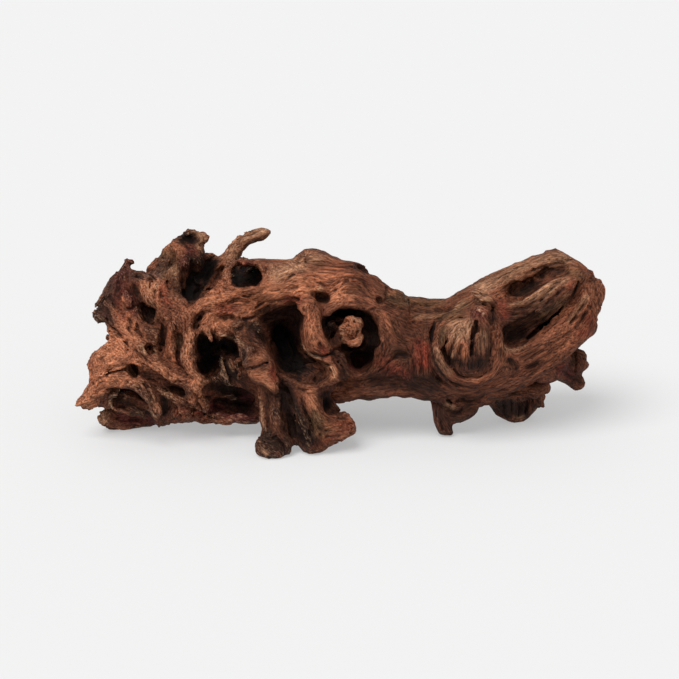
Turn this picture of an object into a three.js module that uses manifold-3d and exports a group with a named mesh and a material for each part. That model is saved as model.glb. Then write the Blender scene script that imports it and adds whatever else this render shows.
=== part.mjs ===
// Driftwood: one weathered root stump with worn hollows, knots and broken stubs, lying on its side.
//
// The wood is one solid, shaped the way a carver would: limbs of wood are laid on, hollows are cut out,
// and the loose ends are added last. Each stroke is a run of stations, [across, rise, near, radius] in mm,
// given as a viewer sees them who looks down on the wood a little: across to the right, rise up the view,
// and near towards the eye. The strokes are gathered in a field of distances, the field's surface is
// drawn as triangles, flat stretches are thinned out, and the feet are cut level where they stand.

import * as THREE from "three";
import { mergeVertices } from "three/addons/utils/BufferGeometryUtils.js";
import Module from "manifold-3d";

// Driving dimensions, in mm and degrees
const LOOK_DOWN = THREE.MathUtils.degToRad(20); // how far the viewer looks down
const EYE = 1130; // from the eye to the middle of the wood
const FLOOR = -55; // height of the floor below the middle of the wood
const REACH = { across: 166, rise: 76, near: 62 }; // half the block that the wood is carved from
const CELL = 2; // spacing of the field's samples
const TRIANGLE_COUNT = 11400;
const LONGEST_EDGE = 13;
const BARK_BROWN = 0x6b4433;

const wasm = await Module();
wasm.setup();

// Moves a station that is read off the view to its true place: nearer things look larger.
function station([across, rise, near, radius]) {
  const shrink = 1 - near / EYE;
  return [across * shrink, rise * shrink, near, radius * shrink];
}

// Stations all round an ellipse, at the depth that `near` gives for an angle.
function ring(across, rise, halfWidth, halfHeight, near, radius, count = 20) {
  return Array.from({ length: count + 1 }, (_, i) => {
    const turn = (i / count) * 2 * Math.PI;
    const x = across + halfWidth * Math.cos(turn);
    const y = rise + halfHeight * Math.sin(turn);
    return [x, y, near(x, y), radius];
  });
}

const add = (name, stations, how = {}) => ({ name, act: "add", stations, blend: 4, deep: 1, ...how });
const cut = (name, stations, how = {}) => ({ name, act: "cut", stations, blend: 2, deep: 1, ...how });

// The front of the trunk's round, for what lies on it
const trunkFront = (x, y) => Math.sqrt(Math.max(0, 31 ** 2 - (y + 4) ** 2));

const core = [
  add("core", [
    [-112, -4, -4, 27], [-88, 0, -6, 37], [-60, 0, -8, 40], [-30, 6, -8, 37], [0, 5, -4, 38], [17, 2, -2, 35.5],
    [31, -3, 0, 31], [54, -6.5, 0, 29.5], [74, -4, 0, 31.5], [92, 1, -1, 36], [108, 7, -2, 38], [123, 15, -3, 34.5],
    [133, 19, -3, 32], [142, 21, -3, 26],
  ], { deep: 0.9 }),
  add("upper strap", [
    [-104, 10, 18, 6], [-82, 20, 22, 10], [-60, 31, 18, 16], [-36, 34, 16, 15], [-12, 35, 14, 14],
    [8, 31, 14, 14], [22, 16, 14, 13],
  ], { blend: 5 }),
  add("crown bump", [[-20, 49, 4, 6.5], [-12, 46.5, 3, 7.5], [0, 42, 2, 8], [13, 38, 0, 8]], { blend: 3 }),
  add("back rim", [[-90, 39, -12, 10], [-78, 44.5, -14, 8], [-66, 43.5, -16, 7.5], [-52, 41, -14, 8]], { blend: 4 }),
  add("underside", [[-103, -39, -8, 10], [-80, -38, -8, 11], [-60, -38, -6, 11], [-44, -36, 0, 12]]),
  add("upper rim", [[98, 34, 6, 7], [112, 40, 6, 8], [126, 46, 4, 7.5], [136, 40, 2, 10], [148, 29, 0, 8]], { blend: 4 }),
  add("rear root", [[-50, -10, -24, 17], [-50, -30, -35, 12], [-48, -44, -41, 8]], { blend: 8 }),
];

const leftEnd = [
  add("dark lump", [[-121, 33, 4, 8], [-130, 32, 6, 9], [-135, 20, 8, 12.5], [-130, 8, 10, 10]], { blend: 4 }),
  add("red shoulder", [[-129, 33, 12, 6], [-127, 20, 17, 7.5], [-122, 8, 20, 6.5], [-117, 0, 22, 5]]),
  add("prong", [[-129, 37, 5, 5.5], [-128, 42, 4, 3.8], [-126.5, 45.5, 4, 3.2]], { blend: 3 }),
  add("fibrous ridge", [[-117, 33, 14, 4.5], [-113, 24, 19, 5], [-105, 15, 22, 5], [-97, 9, 24, 6]], { blend: 3 }),
  cut("dark valley", [[-123, 33, 22, 2.5], [-120, 22, 26, 3.6], [-116, 14, 28, 4.2]], { deep: 1.4 }),
  cut("dark hole", [[-113, 16, 26, 4.4], [-112, 12, 26, 4]], { deep: 2.4 }),
  add("smooth lip", [[-120, 8, 22, 3], [-113, 4, 25, 4.5], [-106, 3, 25, 4.5]], { blend: 3 }),
  cut("fold under the ridge", [[-104, 8, 30, 2.6], [-103, -1, 30, 3]], { deep: 1.6 }),
  cut("little hole", [[-114, -7, 28, 3.2]], { deep: 2.4 }),
  add("lower lobe", [
    [-118, -8, 14, 13], [-131, -12, 13, 16], [-140, -20, 12, 13], [-144, -29, 12, 10], [-151, -36, 11, 5],
    [-158.5, -38, 11, 1.8],
  ], { blend: 5 }),
  add("arch's inner wall", [[-136, -39, -8, 5], [-124, -38, -9, 9], [-104, -34, -8, 12]], { blend: 4 }),
  add("bottom lobe", [
    [-141, -46, -4, 4.5], [-132, -48, -10, 6], [-122, -49, -12, 6], [-110, -45, -10, 8], [-96, -40, -8, 10],
  ]),
  add("flap's edge", [
    [-142, 25, 17, 2.4], [-136, 16, 20, 2.8], [-131, 8, 23, 3], [-127, 3, 24, 3.2], [-119, -4, 26, 4],
    [-108, -13, 28, 5], [-96, -22, 29, 5], [-88, -27, 28, 4.5],
  ], { blend: 2.5 }),
  add("arch's band", [
    [-140, -24, 18, 4], [-130, -25, 21, 5], [-121, -27, 23, 5], [-115, -34, 23, 4.5], [-111, -41, 22, 3],
    [-110, -45, 21, 1.6],
  ], { blend: 3 }),
  cut("arch", [[-134, -37, 20, 4.5], [-127, -37, 22, 7], [-120, -41, 22, 6.5], [-117, -46, 20, 4.5]], { deep: 1.9 }),
  cut("knot hole", [[-124, -20, 30, 3.3]], { deep: 2.6 }),
];

const horns = [
  add("broad horn", [
    [-106, 27, 6, 13], [-100, 38, 5, 13], [-96, 48, 4, 12], [-92, 55, 2, 9.5], [-87, 60, 0, 7.5],
  ], { blend: 5 }),
  cut("horn's hollow end", [[-94, 60, 13, 4.4], [-86, 60, 11, 5]], { deep: 1.5 }),
  add("curved horn", [
    [-66, 44, -17, 7.5], [-65.5, 50, -16, 5.6], [-63, 55.5, -15, 4.6], [-58, 60, -14, 4], [-52, 62.7, -13, 3.7],
    [-47, 64.2, -12, 3.4], [-44, 64.8, -12, 2.6],
  ], { blend: 3 }),
  cut("split between the horns", [
    [-70, 46, 14, 6.5], [-77, 40, 16, 8.5], [-85, 31, 20, 8], [-92, 24, 26, 6],
  ], { deep: 2.3 }),
  add("split's reddish side", [[-104, 30, 16, 4], [-99, 26, 18, 4.5], [-96, 20, 22, 4]], { blend: 3 }),
];

const middle = [
  cut("round hole", [[-60, 37.5, 30, 5.5], [-52, 38, 30, 5.8]], { deep: 3, lip: 2.5, raise: 1.5 }),
  cut("slanting dent", [[-82, 15, 31, 2.6], [-87, 7, 31, 3.4]], { deep: 1.5 }),
  cut("hanging valley", [[-99, 3, 33, 3.4], [-97, -9, 34, 4.6], [-94, -18, 33, 3.6]], { deep: 1.2 }),
  cut("left eye", [[-79, -3, 28, 8.2], [-78, -14, 28, 8.6]], { deep: 2.8, lip: 3, raise: 1.5 }),
  cut("right eye", [[-65, -4, 28, 6], [-65, -10, 28, 5.6]], { deep: 2.8, lip: 2, raise: 1 }),
  add("eye's left rim", [[-90, 4, 30, 3.4], [-89, -9, 32, 3.8], [-86, -20, 31, 4], [-80, -26, 29, 4]], { blend: 3 }),
  add("fibres under the eye", [[-68, -15, 26, 3.5], [-64, -20, 29, 4.2], [-61, -25, 28, 3]], { blend: 2.5 }),
  cut("great hollow", [
    [-40, 12, 27, 6], [-28, 16, 27, 7], [-33, 4, 25, 10.5], [-30, -8, 25, 10.5], [-24, -16, 27, 9],
    [-9, -19, 31, 6.5],
  ], { deep: 2.3 }),
  cut("recess above the leg", [[-76, -31, 33, 7], [-62, -33, 36, 9], [-52, -34, 34, 7]], { deep: 1.2, blend: 4 }),
  add("root's lit ridge", [[-90, -24, 24, 4.6], [-88, -32, 22, 5], [-83, -40, 16, 4]], { blend: 3 }),
  add("lower ridges", [[-108, -28, 20, 3], [-97, -35, 17, 4], [-92, -43, 10, 3.4]], { blend: 3 }),
  add("claw", [
    [-60, 24, 20, 9], [-57, 10, 31, 9], [-53, 2, 37, 9.5], [-50, -7, 40, 9.5], [-46, -16.5, 41, 8], [-41, -24.5, 39.5, 4.6],
    [-38, -31, 38, 1.5],
  ], { deep: 0.55, blend: 4 }),
  add("winding strap", [
    [-24, 34, 18, 9], [-21, 25, 28, 7], [-18, 16, 33, 6], [-17, 6, 35, 5.6], [-13, -4, 36, 5.8], [-6, -11, 35, 5.4],
    [-2, -18, 33, 4], [-1, -24, 31, 2.4],
  ], { blend: 2.5 }),
  add("scoop's floor", [[-34, -24, 14, 7], [-22, -28, 18, 7], [-8, -25, 22, 7]], { blend: 3 }),
  add("scoop's lip", [[-35, -22, 29, 2.4], [-26, -28, 32, 2.6], [-14, -30, 34, 3], [-3, -25, 34, 2.8]], { blend: 2 }),
  cut("ring hollow", [[3, 7, 32, 12], [9, 3, 32, 15], [9, -8, 32, 13.5]], { deep: 1.9 }),
  cut("ring's lower pocket", [[13, -15, 22, 6.5]], { deep: 1.8 }),
  add("stub in the ring", [[7, 2, -6, 10], [7, 4, 12, 7], [7, 5, 24, 6.2], [8, 7, 30, 4.4]], { blend: 2 }),
  cut("pit", [[-11, 26, 37, 3.4], [-7.5, 24, 37, 3]], { deep: 2 }),
  cut("crown notch", [[11, 43, 8, 3.6], [16, 40, 8, 3.4]], { deep: 2 }),
];

const feet = [
  add("leg's left column", [[-40, -26, 20, 10], [-39, -40, 25, 9.5], [-42, -54, 26, 8.5], [-42, -60.5, 26, 10.4], [-36, -62, 26, 9]], { blend: 3 }),
  add("leg's curl", [[-46, -46, 27, 3.5], [-46, -53, 29, 3.4], [-42, -56, 31, 2.6]], { blend: 1.5 }),
  add("leg's right column", [[-21, -28, 24, 10], [-20, -44, 25, 10.5], [-17, -57, 24, 10], [-12, -58, 24, 8.5]], { blend: 3 }),
  add("right toe", [[-8, -54, 23, 9], [2, -52, 21, 8], [7, -52, 20, 5.5]], { blend: 2.5 }),
  add("leg's core", [[-30, -30, 16, 10], [-30, -46, 20, 8], [-29, -58, 21, 6]], { blend: 3 }),
  cut("leg's groove", [[-30, -38, 37, 3], [-30, -50, 37, 3.6], [-28, -62, 36, 3]], { deep: 1.3 }),
  add("right leg", [[62, -34, 4, 8], [61.5, -46, 2, 5.4], [63, -53, 1, 5], [66.5, -57, 0, 3.4]], { deep: 0.8, blend: 3 }),
  add("right leg's web", [[78, -33, 2, 10], [77, -42, 1, 6.4], [68, -45, 1, 5]], { deep: 0.7, blend: 3 }),
  add("rear fin", [[97, -32, -16, 10], [101, -38, -21, 9], [108, -42, -25, 8], [116, -36, -24, 7.5]], { deep: 0.8 }),
  add("rear fin's corner", [[114, -30, -22, 9], [120.5, -40, -25, 2]], { blend: 2 }),
  add("end stub", [[122, -4, -14, 14], [132, -17, -20, 8], [140, -14, -23, 7.5], [147, -15, -25, 3.4]], { blend: 3 }),
  add("end stub's jags", [[132, -18, -21, 6], [143, -26, -24, 3.6]], { blend: 2 }),
];

const rightEnd = [
  cut("torn end", [[160, 26, -8, 9], [152, 14, -14, 8], [142, 2, -14, 5]], { deep: 1.4 }),
  add("torn end's ridge", [[146, 30, -12, 3], [151, 16, -4, 3.4], [146, 6, 4, 3]], { blend: 2 }),
  cut("upper flute", [[104, 28, 27, 6.6], [112, 32, 27, 7.2], [122, 37, 25, 6], [132, 42, 22, 4.5], [140, 43, 19, 2.6]],
    { deep: 1.7 }),
  cut("lower flute", [
    [99, 1, 31, 6.5], [106, 2, 30, 9], [114, 6, 29, 8], [124, 10, 27, 5.5], [133, 17, 25, 4], [141, 27, 22, 3],
    [144, 34, 20, 2],
  ], { deep: 1.6 }),
  add("tongue", [[102, 14, 12, 8], [114, 17, 19, 8], [124, 23, 24, 7], [133, 31, 26, 5.6], [139.5, 36, 26, 3.4]],
    { deep: 0.8, blend: 3 }),
  add("splinter", [[136, 7, 22, 1.8], [143, 15, 22, 2.6], [150, 24, 17, 1.8]], { blend: 1.5 }),
  add("knot's collar", ring(77, -6, 18, 21.5, (x, y) => trunkFront(x, y) + 1.5, 4), { blend: 2 }),
  cut("knot's bowl", [[75, 3, 37, 11.5], [78, -12, 35, 12.5]], { deep: 0.65 }),
  add("knot", [[78, -17, 20, 12], [80, -6, 27, 10.5], [84, 6, 32, 7], [86, 16, 34, 3]], { blend: 2 }),
  add("curly nub", [[80, 28, 27, 2.4], [86, 24, 30, 3.2], [90, 21, 30, 3]], { blend: 2 }),
  cut("crease", [[55, 20, 31, 2], [62, 18, 33, 3.4], [67, 17, 33, 1.8]], { deep: 1.3 }),
];

const back = [
  add("rear strap", [[-112, 20, -24, 8], [-80, 2, -40, 8], [-44, -14, -42, 8], [-6, -22, -34, 8], [26, -18, -26, 7]]),
  add("rear crest", [[-40, 38, -22, 8], [-12, 32, -30, 8], [14, 24, -28, 8], [40, 10, -26, 6]]),
  cut("rear hollow", [[-66, 22, -46, 8], [-44, 16, -48, 10], [-20, 10, -44, 8]], { deep: 1.3, lip: 2, raise: 1 }),
  cut("rear eye", [[-96, -8, -42, 7], [-86, -14, -46, 7]], { deep: 1.8 }),
  add("rear stub", [[-100, -18, -26, 10], [-108, -22, -40, 7.5], [-112, -22, -48, 5]], { blend: 5 }),
  add("rear knot", [[46, 4, -22, 10], [48, 8, -34, 7], [50, 10, -40, 4]], { blend: 3 }),
  cut("rear flute", [[92, 12, -42, 6], [108, 18, -44, 8], [124, 26, -40, 6]], { deep: 1.2 }),
  cut("rear hole", [[6, 4, -46, 6.5], [10, 0, -46, 6]], { deep: 1.8 }),
  cut("hollow below", [[-92, -52, -20, 7], [-72, -54, -16, 9], [-58, -52, -8, 6]], { deep: 1.3 }),
];

// Distance from a point to a run of stations, less the radius there. `deep` stretches it in depth.
function runDistance(x, y, z, stations, deep) {
  let least = Infinity;
  const last = Math.max(1, stations.length - 1);
  for (let i = 0; i < last; i++) {
    const [ax, ay, az, ar] = stations[i];
    const [bx, by, bz, br] = stations[Math.min(i + 1, stations.length - 1)];
    const ux = bx - ax;
    const uy = by - ay;
    const uz = (bz - az) / deep;
    const px = x - ax;
    const py = y - ay;
    const pz = (z - az) / deep;
    const run = ux * ux + uy * uy + uz * uz;
    const t = run > 0 ? Math.min(1, Math.max(0, (px * ux + py * uy + pz * uz) / run)) : 0;
    const away = Math.hypot(px - t * ux, py - t * uy, pz - t * uz) - (ar + t * (br - ar));
    least = Math.min(least, away);
  }
  return least;
}

function smoothMin(a, b, blend) {
  const h = Math.max(blend - Math.abs(a - b), 0) / blend;
  return Math.min(a, b) - (h * h * blend) / 4;
}

const smoothMax = (a, b, blend) => -smoothMin(-a, -b, blend);

// How far the growth of the wood bends the strokes at a point: slow waves and a shorter ripple.
function gnarl(x, y, z) {
  return [
    1.1 * Math.sin(y / 11 + z / 17 + 0.7) + 0.6 * Math.sin(z / 4.3 + y / 5.9 + 2.1),
    1.1 * Math.sin(x / 12 + z / 15 + 1.9) + 0.6 * Math.sin(x / 4.7 + z / 6.1 + 0.4),
    1.8 * Math.sin(x / 14 + y / 10 + 3.1) + 0.6 * Math.sin(x / 5.3 + y / 4.9 + 1.2),
  ];
}

// The field is sampled on a block of points; a value below zero is inside the wood.
class Field {
  constructor() {
    this.size = [REACH.across, REACH.rise, REACH.near].map((half) => Math.ceil((2 * half) / CELL) + 1);
    this.low = [-REACH.across, -REACH.rise, -REACH.near];
    this.step = [1, this.size[0], this.size[0] * this.size[1]];
    this.value = new Float32Array(this.size[0] * this.size[1] * this.size[2]).fill(1000);
  }

  // Calls work(index, x, y, z) on each sample in the box, whose places the gnarl has bent.
  eachIn(low, high, work) {
    const first = low.map((v, k) => Math.max(1, Math.floor((v - this.low[k]) / CELL)));
    const last = high.map((v, k) => Math.min(this.size[k] - 2, Math.ceil((v - this.low[k]) / CELL)));
    for (let k = first[2]; k <= last[2]; k++)
      for (let j = first[1]; j <= last[1]; j++)
        for (let i = first[0]; i <= last[0]; i++) {
          const x = this.low[0] + i * CELL;
          const y = this.low[1] + j * CELL;
          const z = this.low[2] + k * CELL;
          const [dx, dy, dz] = gnarl(x, y, z);
          work(i + j * this.step[1] + k * this.step[2], x + dx, y + dy, z + dz);
        }
  }

  stroke({ act, stations, blend, deep, lip = 0, raise = 0 }) {
    const run = stations.map(station);
    const margin = blend + lip + 3 * CELL + 3;
    const spread = [1, 1, Math.max(1, deep)];
    const low = [0, 1, 2].map((k) => Math.min(...run.map((s) => s[k] - s[3] * spread[k])) - margin * spread[k]);
    const high = [0, 1, 2].map((k) => Math.max(...run.map((s) => s[k] + s[3] * spread[k])) + margin * spread[k]);
    this.eachIn(low, high, (at, x, y, z) => {
      const away = runDistance(x, y, z, run, deep);
      let value = this.value[at];
      if (act === "add") {
        value = smoothMin(value, away, blend);
      } else {
        if (lip > 0) value = smoothMin(value, Math.max(away - lip, value - raise), 2);
        value = smoothMax(value, -away, blend);
      }
      this.value[at] = value;
    });
  }

  // Keeps only the wood on the inner side of a plane that is seen edge on.
  chop(normalAcross, normalRise, offset, blend) {
    const whole = [REACH.across, REACH.rise, REACH.near];
    this.eachIn(whole.map((v) => -v), whole, (at, x, y) => {
      this.value[at] = smoothMax(this.value[at], normalAcross * x + normalRise * y - offset, blend);
    });
  }
}

// Triangles of the field's surface: each cube of samples is split in six tetrahedra round its long diagonal.
function polygonise(field) {
  const paths = [[1, 3], [1, 5], [2, 3], [2, 6], [4, 5], [4, 6]].map(([a, b]) => [0, a, b, 7]);
  const { size, step, low, value } = field;
  const offset = (corner) => (corner & 1) * step[0] + ((corner >> 1) & 1) * step[1] + (corner >> 2) * step[2];
  const points = [];
  const triangles = [];
  const made = new Map();
  // The point where the surface crosses an edge, kept off its ends so that no triangle is a sliver.
  const crossing = (base, from, to, cell) => {
    const key = (base + offset(from)) * 8 + (from ^ to);
    if (!made.has(key)) {
      const a = value[base + offset(from)];
      const b = value[base + offset(to)];
      const t = Math.min(0.85, Math.max(0.15, a / (a - b)));
      made.set(key, points.length / 3);
      for (let k = 0; k < 3; k++) {
        const start = (from >> k) & 1;
        const end = (to >> k) & 1;
        points.push(low[k] + CELL * (cell[k] + start + t * (end - start)));
      }
    }
    return made.get(key);
  };
  const point = (v) => new THREE.Vector3().fromArray(points, 3 * v);
  const triangle = (a, b, c, outwards) => {
    const normal = point(b).sub(point(a)).cross(point(c).sub(point(a)));
    triangles.push(...(normal.dot(outwards) > 0 ? [a, b, c] : [a, c, b]));
  };
  for (let k = 0; k < size[2] - 1; k++)
    for (let j = 0; j < size[1] - 1; j++)
      for (let i = 0; i < size[0] - 1; i++) {
        const base = i + j * step[1] + k * step[2];
        let inside = 0;
        for (let c = 0; c < 8; c++) inside += value[base + offset(c)] < 0 ? 1 : 0;
        if (inside === 0 || inside === 8) continue;
        for (const path of paths) {
          const within = path.filter((c) => value[base + offset(c)] < 0);
          const without = path.filter((c) => value[base + offset(c)] >= 0);
          if (!within.length || !without.length) continue;
          const middle = (corners) =>
            corners.reduce((sum, c) => sum.add(new THREE.Vector3(c & 1, (c >> 1) & 1, c >> 2)), new THREE.Vector3())
              .divideScalar(corners.length);
          const outwards = middle(without).sub(middle(within));
          const edge = (a, b) => crossing(base, Math.min(a, b), Math.max(a, b), [i, j, k]);
          if (within.length === 2) {
            const [a, b] = within;
            const [c, d] = without;
            const quad = [edge(a, c), edge(a, d), edge(b, d), edge(b, c)];
            triangle(quad[0], quad[1], quad[2], outwards);
            triangle(quad[0], quad[2], quad[3], outwards);
          } else {
            const lone = within.length === 1 ? within[0] : without[0];
            const [a, b, c] = within.length === 1 ? without : within;
            triangle(edge(lone, a), edge(lone, b), edge(lone, c), outwards);
          }
        }
      }
  return { points: Float64Array.from(points), triangles: Int32Array.from(triangles) };
}

// A heap of items with a cost, the cheapest first.
class Heap {
  constructor() {
    this.items = [];
  }

  push(item) {
    const { items } = this;
    items.push(item);
    let i = items.length - 1;
    while (i > 0) {
      const up = (i - 1) >> 1;
      if (items[up].cost <= items[i].cost) break;
      [items[up], items[i]] = [items[i], items[up]];
      i = up;
    }
  }

  pop() {
    const { items } = this;
    const top = items[0];
    const last = items.pop();
    if (items.length) {
      items[0] = last;
      let i = 0;
      for (;;) {
        let least = i;
        for (const child of [2 * i + 1, 2 * i + 2])
          if (child < items.length && items[child].cost < items[least].cost) least = child;
        if (least === i) break;
        [items[least], items[i]] = [items[i], items[least]];
        i = least;
      }
    }
    return top;
  }
}

// Takes triangles out where the surface is flattest, by closing up edges, until `count` are left.
function thin({ points, triangles }, count) {
  const vertexCount = points.length / 3;
  const around = Array.from({ length: vertexCount }, () => []);
  const quadric = new Float64Array(10 * vertexCount);
  const changes = new Int32Array(vertexCount);
  const gone = new Uint8Array(triangles.length / 3);
  let left = gone.length;
  const [ab, ac, normal] = [new THREE.Vector3(), new THREE.Vector3(), new THREE.Vector3()];
  const place = (v, out) => out.set(points[3 * v], points[3 * v + 1], points[3 * v + 2]);
  const [pa, pb, pc] = [new THREE.Vector3(), new THREE.Vector3(), new THREE.Vector3()];

  for (let f = 0; f < gone.length; f++) {
    const [a, b, c] = triangles.subarray(3 * f, 3 * f + 3);
    [a, b, c].forEach((v) => around[v].push(f));
    place(a, pa);
    normal.crossVectors(ab.subVectors(place(b, pb), pa), ac.subVectors(place(c, pc), pa));
    const area = normal.length() / 2;
    normal.normalize();
    const plane = [normal.x, normal.y, normal.z, -normal.dot(pa)];
    for (const v of [a, b, c]) {
      let q = 10 * v;
      for (let m = 0; m < 4; m++) for (let n = m; n < 4; n++) quadric[q++] += area * plane[m] * plane[n];
    }
  }

  const neighbours = (v) => {
    const found = new Set();
    for (const f of around[v]) for (let m = 0; m < 3; m++) found.add(triangles[3 * f + m]);
    found.delete(v);
    return found;
  };

  // The best place for the point that an edge closes up to, and what it costs.
  const propose = (a, b) => {
    const q = Array.from({ length: 10 }, (_, m) => quadric[10 * a + m] + quadric[10 * b + m]);
    const mid = [0, 1, 2].map((m) => (points[3 * a + m] + points[3 * b + m]) / 2);
    const hold = 1e-3 * (q[0] + q[4] + q[7]) + 1e-9;
    const matrix = new THREE.Matrix3().set(
      q[0] + hold, q[1], q[2], q[1], q[4] + hold, q[5], q[2], q[5], q[7] + hold,
    );
    const to = new THREE.Vector3(hold * mid[0] - q[3], hold * mid[1] - q[6], hold * mid[2] - q[8])
      .applyMatrix3(matrix.invert());
    const { x, y, z } = to;
    const error = q[0] * x * x + q[4] * y * y + q[7] * z * z + q[9]
      + 2 * (q[1] * x * y + q[2] * x * z + q[3] * x + q[5] * y * z + q[6] * y + q[8] * z);
    const length = place(a, pa).distanceTo(place(b, pb));
    const tooLong = Math.max(0, length / LONGEST_EDGE - 0.8);
    return { a, b, to, cost: error + 1e-4 * length * length + 50 * tooLong, was: changes[a] + changes[b] };
  };

  const heap = new Heap();
  for (let v = 0; v < vertexCount; v++) for (const n of neighbours(v)) if (v < n) heap.push(propose(v, n));

  // False if moving a vertex would turn or squeeze one of its triangles that stay.
  const staysSound = (v, other, to) => {
    for (const f of around[v]) {
      const corners = [0, 1, 2].map((m) => triangles[3 * f + m]);
      if (corners.includes(other)) continue;
      const before = corners.map((c) => new THREE.Vector3().fromArray(points, 3 * c));
      const after = corners.map((c, m) => (c === v ? to : before[m]));
      const cross = (p) => p[1].clone().sub(p[0]).cross(p[2].clone().sub(p[0]));
      const [was, now] = [cross(before), cross(after)];
      if (was.dot(now) < 0.35 * was.length() * now.length()) return false;
      const longest = Math.max(...[0, 1, 2].map((m) => after[m].distanceToSquared(after[(m + 1) % 3])));
      if (now.length() < 0.12 * longest) return false;
    }
    return true;
  };

  while (left > count && heap.items.length) {
    const { a, b, to, was } = heap.pop();
    if (!around[a].length || !around[b].length || changes[a] + changes[b] !== was) continue;
    const [nearA, nearB] = [neighbours(a), neighbours(b)];
    if (!nearA.has(b)) continue;
    if ([...nearA].filter((v) => nearB.has(v)).length !== 2) continue;
    if (!staysSound(a, b, to) || !staysSound(b, a, to)) continue;
    for (const f of around[b]) {
      const corners = [0, 1, 2].map((m) => triangles[3 * f + m]);
      if (corners.includes(a)) {
        gone[f] = 1;
        left--;
        for (const v of corners) if (v !== b) around[v].splice(around[v].indexOf(f), 1);
      } else {
        triangles[3 * f + corners.indexOf(b)] = a;
        around[a].push(f);
      }
    }
    around[b] = [];
    points.set([to.x, to.y, to.z], 3 * a);
    for (let m = 0; m < 10; m++) quadric[10 * a + m] += quadric[10 * b + m];
    changes[a]++;
    changes[b]++;
    const ringOfA = neighbours(a);
    for (const v of ringOfA) heap.push(propose(a, v));
  }

  const kept = [];
  for (let f = 0; f < gone.length; f++) if (!gone[f]) kept.push(...triangles.subarray(3 * f, 3 * f + 3));
  return { points, triangles: Int32Array.from(kept) };
}

// Turns the carved surface from the viewer's directions to the wood's own, with +Z up.
function upright(points) {
  const [s, c] = [Math.sin(LOOK_DOWN), Math.cos(LOOK_DOWN)];
  for (let i = 0; i < points.length; i += 3) {
    const [across, rise, near] = points.subarray(i, i + 3);
    points.set([across, rise * s - near * c, rise * c + near * s], i);
  }
}

function solidOf(geometry) {
  const bare = geometry.clone();
  bare.deleteAttribute("normal");
  bare.deleteAttribute("uv");
  const merged = mergeVertices(bare, 1e-4);
  return new wasm.Manifold(new wasm.Mesh({
    numProp: 3,
    vertProperties: Float32Array.from(merged.attributes.position.array),
    triVerts: Uint32Array.from(merged.index.array),
  }));
}

function geometryOf(solid) {
  const { vertProperties, triVerts } = solid.getMesh();
  const geometry = new THREE.BufferGeometry();
  geometry.setAttribute("position", new THREE.BufferAttribute(vertProperties, 3));
  geometry.setIndex(new THREE.BufferAttribute(triVerts, 1));
  return geometry;
}

// The largest body of a solid, without the scraps that carving may leave.
const largest = (solid) => solid.decompose().sort((a, b) => b.volume() - a.volume())[0];

function carve() {
  const field = new Field();
  core.forEach((one) => field.stroke(one));
  field.chop(0.609, 0.793, 121, 1.5);
  field.chop(0.985, -0.16, 149, 1.5);
  field.chop(0.62, -0.783, 91, 3);
  [leftEnd, horns, feet, middle, rightEnd, back].flat().forEach((one) => field.stroke(one));
  const surface = thin(polygonise(field), TRIANGLE_COUNT);
  upright(surface.points);
  const geometry = new THREE.BufferGeometry();
  geometry.setAttribute("position", new THREE.Float32BufferAttribute(surface.points, 3));
  geometry.setIndex(new THREE.BufferAttribute(Uint32Array.from(surface.triangles), 1));
  return geometry;
}

function driftwood() {
  const floorDepth = 60;
  const floor = new THREE.BoxGeometry(4 * REACH.across, 4 * REACH.across, floorDepth);
  floor.translate(0, 0, FLOOR - floorDepth / 2);
  const wood = largest(solidOf(carve()).subtract(solidOf(floor)));
  const geometry = geometryOf(wood);
  geometry.computeBoundingBox();
  const centre = geometry.boundingBox.getCenter(new THREE.Vector3());
  geometry.translate(-centre.x, -centre.y, -FLOOR);
  const material = new THREE.MeshStandardMaterial({ color: BARK_BROWN, roughness: 0.85, metalness: 0 });
  const mesh = new THREE.Mesh(geometry, material);
  mesh.name = "driftwood";
  return mesh;
}

const part = new THREE.Group();
part.add(driftwood());

export default part;
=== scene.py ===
import logging
import math
import time
from dataclasses import dataclass
from enum import Enum

import bmesh
import bpy
import numpy as np
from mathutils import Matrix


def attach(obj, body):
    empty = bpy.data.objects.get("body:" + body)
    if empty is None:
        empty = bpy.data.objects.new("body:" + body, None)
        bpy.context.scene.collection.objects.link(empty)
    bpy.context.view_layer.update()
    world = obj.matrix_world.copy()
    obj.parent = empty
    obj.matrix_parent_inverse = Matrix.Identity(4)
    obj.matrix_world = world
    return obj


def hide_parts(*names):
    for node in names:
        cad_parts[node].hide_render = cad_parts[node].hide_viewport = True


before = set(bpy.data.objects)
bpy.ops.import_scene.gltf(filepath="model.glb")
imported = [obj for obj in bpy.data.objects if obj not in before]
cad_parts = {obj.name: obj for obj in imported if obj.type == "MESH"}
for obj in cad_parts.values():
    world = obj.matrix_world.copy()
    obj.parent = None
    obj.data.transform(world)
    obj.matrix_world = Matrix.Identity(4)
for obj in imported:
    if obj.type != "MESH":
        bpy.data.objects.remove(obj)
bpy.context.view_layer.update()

import openvdb
from mathutils import Vector

log = logging.getLogger("driftwood")

MM = 0.001
SEED = 41

# The place that the photograph's viewer looks at, in mm from the middle of the wood's foot.
LOOKED_AT = (-0.4, 3.8, 55.0)
EYE_DISTANCE = 1130.0

Point = tuple[float, ...]
Line = tuple[Point, ...]
Array = np.ndarray


class Act(Enum):
    """What a stroke does to the wood."""

    ADD = "adds wood"
    CUT = "takes wood away"


class Side(Enum):
    """The side that the wood is seen from: degrees round it, and degrees above the horizon."""

    FRONT = (0.0, 20.0)
    BACK = (180.0, 20.0)
    TOP = (0.0, 89.0)
    UNDER = (0.0, -60.0)
    LEFT = (-90.0, 15.0)
    RIGHT = (90.0, 15.0)


BACK = Side.BACK


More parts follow.
